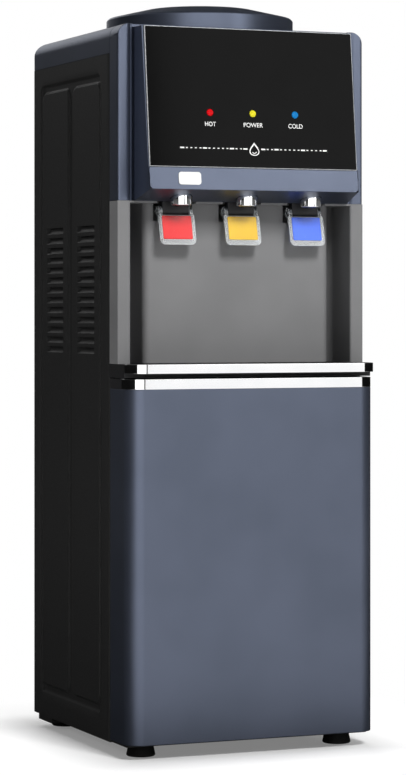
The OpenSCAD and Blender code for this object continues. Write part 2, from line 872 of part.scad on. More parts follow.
module control_glass() {
    color([0.09, 0.09, 0.09]) on_front() difference() {
        across(wedge_half - glass_edge, 0, glass_t, glass_edge, glass_h);
        for (i = [-1 : 1]) rod_y(i * lamp_pitch, lamp_up, -over, glass_t + over, lamp_r + gap);
    }
}

// Lens with a bevelled face, from just ahead of the glass back to the lamp board
module lamp(i) {
    proud = 0.8;
    length = proud + glass_t + wall;
    on_front() translate([i * lamp_pitch, -proud, lamp_up]) rotate([-90, 0, 0]) rotate_extrude()
        polygon([[0, 0], [lamp_r - proud, 0], [lamp_r, proud], [lamp_r, length], [0, length]]);
}

module lamp_red() {
    color(red) lamp(-1);
}

module lamp_yellow() {
    color(yellow) lamp(0);
}

module lamp_blue() {
    color(blue) lamp(1);
}

module badge() {
    up = -(band_h + badge_h) / 2 / cos(wedge_tilt);
    color(white) on_front() translate([-tap_pitch, 0, up])
        along_y(-badge_t, 0) round_all(badge_w / 2, 0, badge_h, badge_r);
}

module lamp_board() {
    board_t = 1.6;
    chip = 5;
    color(board_green) on_front() translate([0, glass_t + wall + pin_play, lamp_up]) {
        across(lamp_pitch + 3 * lamp_r, 0, board_t, -3 * lamp_r, 3 * lamp_r);
        for (i = [-1, 1]) translate([i * lamp_pitch / 2, 0, 0])
            across(chip, board_t, board_t + chip / 2, -chip, chip);
    }
}

// Niche

module niche_panel() {
    strip_flat = niche_half + strip_r;
    notch_z = pivot_z - 2 * ear_r;
    color(niche_grey) difference() {
        union() {
            along_z(niche_z, head_z) difference() {
                union() {
                    translate([-half_w, face_y + strip_r]) square([body_w, shell_d - strip_r]);
                    translate([-niche_half - wall, face_y + strip_r])
                        square([2 * (niche_half + wall), niche_d + wall - strip_r]);
                    for (s = [-1, 1]) {
                        translate([s * (half_w + strip_flat) / 2, face_y + shell_d / 2])
                            square([half_w - strip_flat, shell_d], center = true);
                        translate([s * strip_flat, face_y + strip_r]) circle(r = strip_r);
                    }
                }
                round_high(niche_half, face_y - over, face_y + niche_d, niche_r);
                for (s = [-1, 1]) translate([s * (half_w + niche_half) / 2, face_y + wall + shell_d / 2])
                    square([half_w - niche_half - 2 * wall, shell_d], center = true);
            }
            along_z(niche_z + gap, head_z) difference() {
                round_low(swell_half, face_y + swell_in, face_y + niche_d + wall / 2, swell_r);
                round_low(swell_half - wall, face_y + swell_in + wall, face_y + niche_d, swell_r - wall);
            }
            across(niche_half + wall, face_y + over, face_y + niche_d + wall / 2, head_z - wall, head_z);
        }
        for (x = taps) block([x - paddle_half - paddle_play, face_y, notch_z],
            [x + paddle_half + paddle_play, stem_y + guide_r + gap, head_z + over]);
    }
}

// Taps, each drawn with its middle at x = 0

module tap_body(x) {
    web_top = block_z + over;
    color(dark_grey) translate([x, 0, 0]) difference() {
        union() {
            across(block_half, block_front, block_back, block_z, block_top);
            translate([0, spout_y, nozzle_z]) cylinder(h = web_top - nozzle_z, r = nozzle_r);
            rod_x(lug_half, pivot_y, pivot_z, lug_r);
            across(lug_half, pivot_y - lug_r, pivot_y + lug_r, pivot_z, web_top);
            translate([0, stem_y, guide_z]) cylinder(h = web_top - guide_z, r = guide_r);
            translate([0, stem_y - disc_r, block_top]) cylinder(h = barb_h, r = tube_r - tube_wall);
        }
        rod_x(lug_half + over, pivot_y, pivot_z, pivot_r);
        translate([0, stem_y, guide_z - over])
            cylinder(h = chamber_z - guide_z + 2 * over, r = stem_r + pin_play);
        translate([0, stem_y, chamber_z]) cylinder(h = chamber_h, r = disc_r + gap);
        translate([0, spout_y, nozzle_z - over]) cylinder(h = chamber_z - nozzle_z + over + way_r, r = way_r);
        rod_y(0, chamber_z + way_r, spout_y, stem_y, way_r / 2);
        translate([0, stem_y - disc_r, chamber_z + way_r]) cylinder(h = block_h, r = way_r / 2);
    }
}

module spout(x) {
    rim = 1;
    color(chrome) translate([x, spout_y, 0]) rotate_extrude() polygon([
        [nozzle_r + pin_play, spout_z], [spout_r - rim, spout_z], [spout_r, spout_z + rim],
        [spout_r, block_z], [nozzle_r + pin_play, block_z]]);
}

// Clear lever: paddle, two ears on the pin, and a bar behind the pin that lifts the valve stem
module lever(x) {
    ear_in = lug_half + gap;
    ear_out = ear_in + ear_t;
    front = -paddle_out - paddle_t;
    ear_low = -3 * ear_r;
    color(clear) translate([x, pivot_y, pivot_z]) difference() {
        union() {
            rotate([-paddle_lean, 0, 0]) {
                along_y(front, -paddle_out) round_low(paddle_half, -paddle_low, -paddle_up, paddle_r);
                for (s = [-1, 1]) mirror([s < 0 ? 1 : 0, 0, 0]) along_x(ear_in, ear_out) {
                    circle(r = ear_r);
                    polygon([[front, ear_low], [-paddle_out, ear_low], [ear_r - 1, -ear_r / 2],
                        [0, ear_r / 2], [front, 0]]);
                }
            }
            for (s = [-1, 1]) mirror([s < 0 ? 1 : 0, 0, 0])
                block([ear_in + gap, 0, gap - bar_r], [ear_out - gap, lift_arm, bar_r - gap]);
            rod_x(ear_out - 2 * gap, lift_arm, 0, bar_r);
        }
        rod_x(ear_out + over, 0, 0, pivot_r + pin_play);
        rotate([-paddle_lean, 0, 0]) across(plate_w / 2 + gap, front - over, front + plate_t,
            -plate_down - plate_h - 2 * gap, -plate_down);
    }
}

module lever_plate(x) {
    front = -paddle_out - paddle_t;
    color(x < 0 ? red : x > 0 ? blue : yellow) translate([x, pivot_y, pivot_z]) rotate([-paddle_lean, 0, 0])
        along_y(front, front + plate_t)
            round_all(plate_w / 2, -plate_down - gap - plate_h, -plate_down - gap, paddle_r / 4);
}

module valve_stem(x) {
    color(white) translate([x, stem_y, 0]) {
        translate([0, 0, stem_foot]) cylinder(h = chamber_z + gap - stem_foot + over, r = stem_r);
        translate([0, 0, chamber_z + gap]) cylinder(h = disc_t, r = disc_r);
    }
}

module hot_tap_body() {
    tap_body(taps[0]);
}

module room_tap_body() {
    tap_body(taps[1]);
}

module cold_tap_body() {
    tap_body(taps[2]);
}

module hot_spout() {
    spout(taps[0]);
}

module room_spout() {
    spout(taps[1]);
}

module cold_spout() {
    spout(taps[2]);
}

module hot_lever() {
    lever(taps[0]);
}

module room_lever() {
    lever(taps[1]);
}

module cold_lever() {
    lever(taps[2]);
}

module hot_lever_plate() {
    lever_plate(taps[0]);
}

module room_lever_plate() {
    lever_plate(taps[1]);
}

module cold_lever_plate() {
    lever_plate(taps[2]);
}

module hot_valve_stem() {
    valve_stem(taps[0]);
}

module room_valve_stem() {
    valve_stem(taps[1]);
}

module cold_valve_stem() {
    valve_stem(taps[2]);
}

module lever_pins() {
    half = lug_half + ear_t + 2 * gap;
    color(steel) for (x = taps) translate([x, 0, 0]) rod_x(half, pivot_y, pivot_z, pivot_r);
}

// Drip tray

module tray_deck() {
    pocket = 12;
    color(dark_grey) difference() {
        union() {
            across(half_w, deck_front, seam_y, deck_z, niche_z);
            across(tray_half + 2 * wall, deck_front, niche_back, deck_z, niche_z);
        }
        across(tray_half, deck_front - over, pan_back + wall, deck_z + wall, niche_z + over);
        translate([hinge_x, hinge_y, deck_z - over]) cylinder(h = hinge_h + over, r = hinge_r);
        for (s = [-1, 1]) mirror([s < 0 ? 1 : 0, 0, 0])
            block([tray_half + 3 * wall, seam_y - pocket, deck_z - over],
                [half_w - wall, seam_y + over, niche_z - wall]);
    }
}

module drip_tray() {
    lip_y = deck_front - gap;
    color(dark_grey) difference() {
        union() {
            along_z(tray_z, niche_z) round_low(half_w - trim_t, tray_y + trim_t, lip_y, front_r - trim_t);
            across(tray_half - gap, tray_y + front_r, pan_back, pan_z, niche_z);
        }
        across(grille_half, grille_front, grille_back, niche_z - grille_t, niche_z + over);
        across(grille_half - wall, grille_front + wall, pan_back - 2 * wall, pan_z + wall, niche_z + over);
    }
}

module tray_trim() {
    color(chrome) along_z(tray_z, niche_z) difference() {
        round_low(half_w, tray_y, deck_front - gap, front_r);
        round_low(half_w - trim_t, tray_y + trim_t, deck_front, front_r - trim_t);
    }
}

module drip_grille() {
    half = grille_half - gap;
    margin = 8;
    slots = floor((half - margin) / slot_pitch);
    color(black_steel) difference() {
        across(half, grille_front + gap, grille_back - gap, niche_z - grille_t, niche_z);
        for (i = [-slots : slots]) translate([i * slot_pitch, 0, 0])
            across(slot_w / 2, grille_front + margin, grille_back - margin, niche_z - grille_t - over,
                niche_z + over);
    }
}

// Door

module door_shell() {
    color(slate) difference() {
        along_z(door_z, rail_z) round_low(half_w, door_y, door_back, front_r);
        along_z(door_z + wall, rail_z - wall)
            round_low(half_w - wall, door_y + wall, door_back + over, front_r - wall);
        translate([hinge_x, hinge_y, door_z - over]) cylinder(h = hinge_h, r = hinge_r + pin_play);
    }
}

module door_liner() {
    half = half_w - wall - gap;
    low = door_z + wall + gap;
    high = rail_z - wall - gap;
    rim = 30;
    rise = 6;
    color(niche_grey) difference() {
        union() {
            across(half, door_back - wall, door_back, low, high);
            across(half - rim, door_back - wall - rise, door_back, low + rim, high - rim);
        }
        across(half - rim - wall, door_back - rise, door_back + over, low + rim + wall, high - rim - wall);
    }
}

module door_rail() {
    return_y = face_y - door_return;
    color(dark_grey) difference() {
        union() {
            along_z(rail_z, groove_z)
                round_low(half_w - trim_t, door_y + trim_t, door_back, front_r - trim_t);
            across(half_w, return_y, door_back, rail_z, groove_z);
        }
        across(pull_w / 2, door_y + trim_t + wall, return_y, groove_z - pull_d, groove_z + over);
        translate([hinge_x, hinge_y, groove_z - hinge_h])
            cylinder(h = hinge_h + over, r = hinge_r + pin_play);
    }
}

module door_trim() {
    return_y = face_y - door_return;
    color(chrome) along_z(rail_z, groove_z) difference() {
        round_low(half_w, door_y, return_y, front_r);
        round_low(half_w - trim_t, door_y + trim_t, return_y + over, front_r - trim_t);
    }
}

module hinge_pins() {
    color(steel) translate([hinge_x, hinge_y, 0]) {
        translate([0, 0, foot_h]) cylinder(h = door_z + wall - foot_h + over, r = hinge_r);
        translate([0, 0, groove_z - hinge_h + over])
            cylinder(h = deck_z - groove_z + 2 * hinge_h - over, r = hinge_r);
    }
}

// Cabinet and shelves

module cabinet_liner() {
    out = half_w - liner_side;
    high = groove_z - door_gap;
    front = seam_y + sheet_t + gap;
    back = rear_in - sheet_t - gap;
    color(niche_grey) difference() {
        across(out, front, back, base_top, high);
        across(out - wall, front - over, back - wall, base_top + wall, high - wall);
    }
}

// Steel shelf with turned-down edges, carried by the piece ahead of it and the rear panel
module shelf(z, edge) {
    difference() {
        across(shelf_half, niche_back, rear_in, z - edge, z + sheet_t);
        across(shelf_half - sheet_t, niche_back + sheet_t, rear_in - sheet_t, z - edge - over, z);
    }
}

module mid_shelf() {
    color(steel) shelf(mid_z, mid_edge);
}

module tank_shelf() {
    color(steel) difference() {
        shelf(shelf_z, shelf_edge);
        translate([hot_x, hot_port_y, shelf_z - over]) cylinder(h = sheet_t + 2 * over, r = tube_r + 1);
    }
}

// Water and cooling

module cold_tank() {
    pipe_wall = 2;
    color(steel) difference() {
        union() {
            translate([0, tank_y, tank_z]) cylinder(h = tank_h, r = tank_r);
            rod_y(0, drain_z, tank_y + tank_r - 2 * sheet_t, plug_y, drain_r);
        }
        translate([0, tank_y, tank_z + sheet_t]) cylinder(h = tank_h - 2 * sheet_t, r = tank_r - sheet_t);
        translate([0, collar_y, tank_top - wall]) cylinder(h = 2 * wall, r = spike_r + wall);
        rod_y(0, drain_z, tank_y, plug_y + over, drain_r - pipe_wall);
    }
}

// Where each tube leaves its tap and where it ends
tube_y = stem_y - disc_r;
tube_foot = block_top;
cold_way = [-tap_pitch, tank_y - tube_y];
cold_len = norm(cold_way) - tank_r;
cold_turn = atan2(cold_way[1], cold_way[0]);
cold_rise = 20;
room_rise = 70;

module cold_run(r, more) {
    translate([tap_pitch, tube_y, tube_foot + cold_rise]) rotate([0, 90, cold_turn])
        cylinder(h = cold_len + more, r = r);
}

module room_run(r, more) {
    rod_y(0, tube_foot + room_rise, tube_y, tank_y - tank_r + more, r);
}

module tube_bend(p) {
    translate(p) sphere(r = tube_r);
}

module water_tubes() {
    bore = tube_r - tube_wall;
    color(foam_white) difference() {
        union() {
            for (t = [[taps[0], cold_rise], [taps[1], room_rise], [taps[2], cold_rise]]) {
                translate([t[0], tube_y, tube_foot]) cylinder(h = t[1], r = tube_r);
                tube_bend([t[0], tube_y, tube_foot + t[1]]);
            }
            cold_run(tube_r, -gap);
            room_run(tube_r, -gap);
            rod_y(hot_x, tube_foot + cold_rise, tube_y, hot_port_y, tube_r);
            tube_bend([hot_x, hot_port_y, tube_foot + cold_rise]);
            translate([hot_x, hot_port_y, hot_top]) cylinder(h = tube_foot + cold_rise - hot_top, r = tube_r);
        }
        for (x = taps) translate([x, tube_y, tube_foot - over]) cylinder(h = cold_rise, r = bore + pin_play);
    }
}

module tank_insulation() {
    foam_back = tank_y + foam_r + over;
    cool_half = cool_w / 2 + wall;
    sink_half = sink_w / 2 + wall;
    color(foam_white) difference() {
        translate([0, tank_y, shelf_top]) cylinder(h = foam_low + tank_h, r = foam_r);
        translate([0, tank_y, tank_z]) cylinder(h = tank_h + over, r = tank_r + gap);
        rod_y(0, drain_z, tank_y, foam_back, drain_r + gap);
        translate([0, 0, cool_z]) {
            across(cool_half, tank_y, foam_back, -cool_half, cool_half);
            across(sink_half, block_flat, foam_back, -sink_half, sink_half);
        }
        cold_run(tube_r + gap, over);
        room_run(tube_r + gap, over);
    }
}

module hot_tank() {
    color(steel) translate([hot_x, hot_y, 0]) difference() {
        union() {
            translate([0, 0, hot_z]) cylinder(h = hot_h, r = hot_r);
            translate([0, 0, mid_top]) cylinder(h = hot_stand, r = stand_r);
        }
        translate([0, 0, hot_z + sheet_t]) cylinder(h = hot_h - 2 * sheet_t, r = hot_r - sheet_t);
        translate([0, 0, mid_top - over]) cylinder(h = hot_stand, r = stand_r - sheet_t);
    }
}

module heater_band() {
    thick = 4;
    clamp = 10;
    color(dark_grey) translate([hot_x, hot_y, hot_z + hot_h / 4]) difference() {
        union() {
            cylinder(h = band_heat_h, r = hot_r + thick);
            translate([hot_r, 0, 0]) across(clamp, -clamp, clamp, thick, band_heat_h - thick);
        }
        translate([0, 0, -over]) cylinder(h = band_heat_h + 2 * over, r = hot_r + pin_play);
    }
}

module cooling_module() {
    color(steel) translate([0, 0, cool_z]) difference() {
        across(cool_w / 2, tank_y + tank_r / 2, sink_front, -cool_w / 2, cool_w / 2);
        translate([0, tank_y, -sink_w]) cylinder(h = 2 * sink_w, r = tank_r + pin_play);
    }
}

module heat_sink() {
    pitch = (sink_w - fin_t) / (fin_n - 1);
    color(steel) translate([0, 0, cool_z]) {
        across(sink_w / 2, sink_front, sink_front + sink_base, -sink_w / 2, sink_w / 2);
        for (i = [0 : fin_n - 1]) translate([-sink_w / 2 + i * pitch, 0, 0])
            block([0, sink_front + sink_base / 2, -sink_w / 2], [fin_t, sink_back, sink_w / 2]);
    }
}

module fan_frame() {
    strut = 6;
    color(dark_grey) translate([0, 0, cool_z]) {
        difference() {
            across(sink_w / 2, fan_y, fan_y + fan_t, -sink_w / 2, sink_w / 2);
            rod_y(0, 0, fan_y - over, fan_y + fan_t + over, fan_bore);
        }
        for (turn = [45, 135]) rotate([0, turn, 0])
            across(fan_bore + over, fan_y, fan_y + hub_t, -strut / 2, strut / 2);
        rod_y(0, 0, fan_y, fan_y + hub_t, hub_r);
        rod_y(0, 0, fan_y, fan_y + fan_t - axle_end, axle_r);
    }
}

module fan_rotor() {
    front = fan_y + hub_t + gap;
    color(black_steel) translate([0, 0, cool_z]) difference() {
        union() {
            rod_y(0, 0, front, fan_y + fan_t - over, hub_r);
            intersection() {
                rod_y(0, 0, front, front + blade_depth, blade_r);
                for (i = [0 : blade_n - 1]) rotate([0, i * 360 / blade_n, 0])
                    translate([hub_r - over, front + blade_depth / 2, 0]) rotate([blade_pitch, 0, 0])
                        block([0, -blade_depth, -blade_t / 2], [blade_r, blade_depth, blade_t / 2]);
            }
        }
        rod_y(0, 0, front - over, fan_y + fan_t - axle_end + gap, axle_r + pin_play);
    }
}

module drain_plug() {
    grip = 5;
    color(dark_grey) difference() {
        union() {
            rod_y(0, drain_z, rear_out + gap, plug_y + gap, drain_r + wall);
            rod_y(0, drain_z, plug_y + gap, plug_y + gap + grip, drain_r + 2 * wall);
        }
        rod_y(0, drain_z, rear_out, plug_y + gap, drain_r + pin_play);
    }
}

// Electrics

module power_board() {
    board_x = 80;
    board_y = 100;
    board_t = 1.6;
    margin = 6;
    post_h = 8;
    post_r = 3;
    coil_x = 40;
    coil_y = 34;
    coil_h = 32;
    relay_x = 28;
    relay_y = 12;
    relay_h = 16;
    can_r = 5;
    can_h = 26;
    top = post_h + board_t / 2;
    color(board_green) translate([shelf_half - board_x - 2 * margin, niche_back + 3 * margin, mid_top]) {
        translate([0, 0, post_h]) cube([board_x, board_y, board_t]);
        for (x = [margin, board_x - margin]) for (y = [margin, board_y - margin])
            translate([x, y, 0]) cylinder(h = top, r = post_r);
        translate([2 * margin, 2 * margin, top]) cube([coil_x, coil_y, coil_h]);
        for (i = [0, 1]) translate([2 * margin, coil_y + 4 * margin + i * 3 * margin, top])
            cube([relay_x, relay_y, relay_h]);
        for (i = [1, 2]) translate([board_x - margin - 2 * i * (can_r + over), board_y - 3 * margin, top])
            cylinder(h = can_h, r = can_r);
    }
}

// Power entry: one moulding with the inlet and the wells of both switches
module power_inlet() {
    pin = 2;
    pin_x = 7;
    pin_low = 2;
    pin_high = 3;
    pins = [[-pin_x, -pin_low], [0, pin_high], [pin_x, -pin_low]];
    floor_y = rear_out - inlet_d;
    open_y = rear_out + lip + over;
    plate_half = inlet_w / 2 + inlet_rim;
    plate_low = inlet_z - inlet_h / 2 - inlet_rim;
    plate_high = switch_z[1] + switch_h / 2 + inlet_rim;
    well_x = switch_w / 2 + bezel / 2 - gap;
    well_z = switch_h / 2 + bezel / 2 - gap;
    hole_x = inlet_w / 2 - inlet_wall;
    hole_z = inlet_h / 2 - inlet_wall;
    color(dark_grey) translate([inlet_x, 0, 0]) {
        difference() {
            union() {
                across(plate_half, rear_out, rear_out + lip, plate_low, plate_high);
                across(inlet_w / 2, floor_y, rear_out + over, inlet_z - inlet_h / 2, inlet_z + inlet_h / 2);
                for (z = switch_z) across(well_x, floor_y, rear_out + over, z - well_z, z + well_z);
            }
            across(hole_x, floor_y + inlet_wall, open_y, inlet_z - hole_z, inlet_z + hole_z);
            for (z = switch_z) {
                across(switch_w / 2, floor_y + wall, open_y, z - switch_h / 2, z + switch_h / 2);
                rod_x(well_x + over, rocker_y, z, axle_r);
            }
        }
        for (p = pins) translate([p[0], 0, inlet_z + p[1]])
            across(pin / 2, floor_y + over, rear_out - pin, -pin, pin);
    }
}

// Rocker with two sloped faces, on a stub axle at its middle
module rocker(z) {
    half = switch_h / 2 - lip;
    middle = rocker_in + over;
    edge = middle + lip;
    color(dark_grey) translate([inlet_x, 0, z]) {
        along_x(-switch_w / 2 + gap, switch_w / 2 - gap) translate([rocker_y, 0]) polygon([
            [-rocker_in, -half / 2], [middle, -half], [edge, -half], [middle, 0],
            [edge, half], [middle, half], [-rocker_in, half / 2]]);
        rod_x(switch_w / 2 + bezel / 2 - 2 * gap, rocker_y, 0, axle_r - pin_play);
    }
}

module hot_switch() {
    rocker(switch_z[0]);
}

module cold_switch() {
    rocker(switch_z[1]);
}

base_pan();
feet();
left_side_panel();
right_side_panel();
rear_panel();
panel_screws();
top_cover();
bottle_collar();
bottle_funnel();
bottle_spike();
head_housing();
control_glass();
lamp_red();
lamp_yellow();
lamp_blue();
badge();
lamp_board();
niche_panel();
hot_tap_body();
room_tap_body();
cold_tap_body();
hot_spout();
room_spout();
cold_spout();
hot_lever();
room_lever();
cold_lever();
hot_lever_plate();
room_lever_plate();
cold_lever_plate();
hot_valve_stem();
room_valve_stem();
cold_valve_stem();
lever_pins();
tray_deck();
drip_tray();
tray_trim();
drip_grille();
door_shell();
door_liner();
door_rail();
door_trim();
hinge_pins();
cabinet_liner();
mid_shelf();
tank_shelf();
cold_tank();
tank_insulation();
hot_tank();
heater_band();
cooling_module();
heat_sink();
fan_frame();
fan_rotor();
water_tubes();
drain_plug();
power_board();
power_inlet();
hot_switch();
cold_switch();
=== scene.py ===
# %% [markdown]
# # A floor-standing water dispenser
# The dispenser's solids are loaded first, as a fixed frame: one object for each physical piece, in metres,
# with the floor at height zero and the front looking along -Y. Everything made below sits on those pieces
# and moves with them. Sizes in this lesson are written in millimetres and multiplied by MM, because that is
# how such an appliance is drawn.

# %% Load the frame
import json
import math
import bpy
import bmesh
from mathutils import Matrix, Vector

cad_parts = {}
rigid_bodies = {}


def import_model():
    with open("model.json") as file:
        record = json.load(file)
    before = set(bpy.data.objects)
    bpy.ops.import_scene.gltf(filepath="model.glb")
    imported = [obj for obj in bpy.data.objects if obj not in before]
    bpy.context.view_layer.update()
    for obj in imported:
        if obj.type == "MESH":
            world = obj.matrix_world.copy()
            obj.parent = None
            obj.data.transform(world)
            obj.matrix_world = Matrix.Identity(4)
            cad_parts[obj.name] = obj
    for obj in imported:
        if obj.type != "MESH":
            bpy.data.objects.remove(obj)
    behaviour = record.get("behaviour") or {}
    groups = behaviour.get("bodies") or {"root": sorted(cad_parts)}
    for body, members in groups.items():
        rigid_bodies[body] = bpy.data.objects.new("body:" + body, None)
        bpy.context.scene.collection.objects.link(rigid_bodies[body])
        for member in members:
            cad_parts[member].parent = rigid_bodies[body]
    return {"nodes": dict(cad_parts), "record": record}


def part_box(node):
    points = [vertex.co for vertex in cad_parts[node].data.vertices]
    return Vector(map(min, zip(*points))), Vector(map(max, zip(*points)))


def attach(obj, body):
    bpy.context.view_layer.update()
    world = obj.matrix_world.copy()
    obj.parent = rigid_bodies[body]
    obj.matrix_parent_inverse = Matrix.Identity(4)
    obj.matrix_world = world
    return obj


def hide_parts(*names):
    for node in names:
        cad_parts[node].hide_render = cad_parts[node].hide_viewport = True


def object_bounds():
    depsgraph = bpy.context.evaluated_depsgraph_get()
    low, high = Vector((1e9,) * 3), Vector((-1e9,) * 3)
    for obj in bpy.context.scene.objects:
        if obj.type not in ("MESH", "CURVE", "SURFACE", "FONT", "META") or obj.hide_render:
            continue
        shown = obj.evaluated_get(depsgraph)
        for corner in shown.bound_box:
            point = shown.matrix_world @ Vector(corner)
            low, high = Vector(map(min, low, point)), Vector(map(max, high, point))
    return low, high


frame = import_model()
cad_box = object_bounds()
MM = 0.001
nodes = frame["nodes"]
slot_of = {part["node"]: part["material_slot"] for part in frame["record"]["subparts"]}
body_of = {name: body for body, names in frame["record"]["behaviour"]["bodies"].items() for name in names}

# %% [markdown]
# ## Small helpers for finishes
# A finish is a short chain of nodes that ends in one shader. Colours are written as the sRGB hex values that
# one reads off a screen, and one function turns them into the linear light that the shader works in. A second
# function adds any node with its settings, values and links, so each finish below reads like a recipe.

# %% Colour and node helpers
def linear(code):
    parts = [int(code[i:i + 2], 16) / 255 for i in (1, 3, 5)]
    return [p / 12.92 if p <= 0.04045 else ((p + 0.055) / 1.055) ** 2.4 for p in parts] + [1.0]


def add(tree, kind, inputs=(), **settings):
    made = tree.nodes.new(kind)
    for name, value in settings.items():
        setattr(made, name, value)
    for name, value in dict(inputs).items():
        if isinstance(value, bpy.types.NodeSocket):
            tree.links.new(value, made.inputs[name])
        else:
            made.inputs[name].default_value = value
    return made


def empty_tree(owner):
    owner.use_nodes = True
    owner.node_tree.nodes.clear()
    return owner.node_tree


def start_finish(name):
    material = bpy.data.materials.new(name)
    tree = empty_tree(material)
    place = add(tree, "ShaderNodeTexCoord").outputs["Object"]
    return material, tree, place


def end_finish(tree, inputs):
    shader = add(tree, "ShaderNodeBsdfPrincipled", inputs)
    add(tree, "ShaderNodeOutputMaterial", {"Surface": shader.outputs["BSDF"]})


print("slate sample in linear light:", [round(v, 3) for v in linear("#636A7B")])

# %% [markdown]
# ## Patterns
# Each finish is broken up by a pattern of a known size. Noise gives drift, grain and wipe marks, and cells
# give foam and facets. A pattern then does up to three things: it mixes two tones, it spreads the gloss
# over a range, and it presses a shallow relief. Image textures could do the same, but a pattern in object
# space needs no unwrapping and keeps its size on every piece. Noise seldom leaves its middle values, so
# plastics and paint stretch it from 0.3 to 0.7.

# %% Pattern helpers
NOISE_LOW, NOISE_HIGH = 0.3, 0.7


def noise(tree, place, cell_mm, detail=2.0):
    made = add(tree, "ShaderNodeTexNoise", {"Vector": place, "Scale": 1 / (cell_mm * MM), "Detail": detail})
    return made.outputs["Fac"]


def cells(tree, place, cell_mm):
    made = add(tree, "ShaderNodeTexVoronoi", {"Vector": place, "Scale": 1 / (cell_mm * MM)})
    return made.outputs["Distance"]


def two_tones(tree, value, dark, light, low=0.35, high=0.65):
    ramp = add(tree, "ShaderNodeValToRGB", {"Fac": value})
    for stop, code, at in zip(ramp.color_ramp.elements, (dark, light), (low, high)):
        stop.color = linear(code)
        stop.position = at
    return ramp.outputs["Color"]


def spread(tree, value, low, high, start=0.0, end=1.0):
    made = add(tree, "ShaderNodeMapRange", {"Value": value, "From Min": start, "From Max": end,
                                            "To Min": low, "To Max": high})
    return made.outputs["Result"]


def relief(tree, value, strength, deep_mm):
    made = add(tree, "ShaderNodeBump", {"Height": value, "Strength": strength, "Distance": deep_mm * MM})
    return made.outputs["Normal"]


def calc(tree, operation, *values):
    return add(tree, "ShaderNodeMath", dict(enumerate(values)), operation=operation).outputs["Value"]


print("patterns: noise and cells, stretched from", NOISE_LOW, "to", NOISE_HIGH)

# %% [markdown]
# ## Moulded plastics
# Most of what shows is injection-moulded ABS: the slate head and door, the grey niche, the dark tray. A mould
# is spark-eroded or etched, so the plastic comes out with a fine even grain that softens highlights. One
# recipe makes them all: a slow noise for the slight tone drift over a large moulding, and a fine noise that
# drives both the gloss and a shallow bump. Real grain is about 0.1 mm wide; at this picture size it is drawn
# about 1.5 mm wide, or it would not show at all. The slate parts are lacquered with metal flake, so they take
# most of their light as a metal does and darken quickly where they turn away.

# %% Moulded plastics
DRIFT_MM, GRAIN_BUMP, GLOSS_STEP = 120, 0.6, 0.04
ABS_IOR, COAT_ROUGH = 1.53, 0.18


def moulded(name, dark, light, rough, grain_mm, relief_mm, gloss_level=0.5, coat=0.0, flake=0.0):
    material, tree, place = start_finish(name)
    tone = two_tones(tree, noise(tree, place, DRIFT_MM), dark, light)
    grain = noise(tree, place, grain_mm)
    gloss = spread(tree, grain, rough - GLOSS_STEP, rough + GLOSS_STEP, NOISE_LOW, NOISE_HIGH)
    end_finish(tree, {"Base Color": tone, "Roughness": gloss,
                      "Normal": relief(tree, grain, GRAIN_BUMP, relief_mm), "IOR": ABS_IOR,
                      "Specular IOR Level": gloss_level, "Metallic": flake, "Coat Weight": coat,
                      "Coat Roughness": COAT_ROUGH})
    return material


finish = {
    "slate_plastic": moulded("abs_slate_metallic_lacquer", "#5D6474", "#636A7B", 0.4, 1.5, 0.008, flake=0.86),
    "grey_plastic": moulded("abs_grey_etched", "#7E7E7F", "#868687", 0.58, 1.4, 0.03, 0.35),
    "dark_plastic": moulded("abs_charcoal_etched", "#202022", "#272729", 0.5, 1.4, 0.03, 0.35),
    "black_plastic": moulded("pp_black_moulded", "#101011", "#151516", 0.42, 1.8, 0.02, 0.4),
    "white_plastic": moulded("pp_white_food_grade", "#E2E3E1", "#EBECEA", 0.38, 2.0, 0.012),
    "badge_white": moulded("abs_white_gloss", "#EFEFED", "#F5F5F3", 0.16, 3.0, 0.004, coat=0.3),
    "red_plastic": moulded("abs_red_gloss", "#F0282B", "#F63335", 0.24, 3.0, 0.004, 0.3),
    "yellow_plastic": moulded("abs_yellow_gloss", "#F1C02A", "#F7CB38", 0.24, 3.0, 0.004, 0.3),
    "blue_plastic": moulded("abs_blue_gloss", "#4A74F6", "#5580FD", 0.24, 3.0, 0.004, 0.3),
    "foot_rubber": moulded("rubber_black_moulded", "#0C0C0B", "#121211", 0.75, 1.2, 0.03, 0.25),
    "silicone": moulded("silicone_tube_milky", "#CFCCC1", "#DBD8CE", 0.35, 2.5, 0.008),
}
print("moulded finishes:", len(finish))

# %% [markdown]
# ## Painted sheet steel
# The side and rear panels are pressed steel with baked black powder paint. Powder melts into a skin with a
# gentle orange-peel of about 2 mm, over a much finer tooth. Two noises of those sizes, the coarse one deeper,
# make the broken highlights that tell paint on steel from plastic.

# %% Powder-painted steel
PEEL_MM, TOOTH_MM, TOOTH_SHARE, PEEL_DEEP = 2.2, 0.7, 0.3, 0.04
material, tree, place = start_finish("steel_black_powder_paint")
peel = noise(tree, place, PEEL_MM, 1.0)
skin = calc(tree, "MULTIPLY_ADD", noise(tree, place, TOOTH_MM, 1.0), TOOTH_SHARE, peel)
end_finish(tree, {"Base Color": two_tones(tree, peel, "#262626", "#2D2D2D"),
                  "Roughness": spread(tree, peel, 0.36, 0.46, NOISE_LOW, NOISE_HIGH),
                  "Normal": relief(tree, skin, 0.6, PEEL_DEEP), "IOR": 1.5, "Specular IOR Level": 0.3})
finish["black_painted_steel"] = material
print("painted steel:", material.name)

# %% [markdown]
# ## Bright metals
# Chrome on the tray front, the door strip and the spouts is electroplated over plastic: a mirror with only
# faint wipe marks, so its roughness wanders a little in patches 40 mm wide. Stainless tanks show fine drawn
# lines along one way, so the noise is squeezed hard across that way. Zinc plate has flat crystals a few
# millimetres wide, which a cell pattern gives, and extruded aluminium has lines along its length. The lines
# are really 0.1 mm apart; they are drawn about 0.6 mm apart to show.

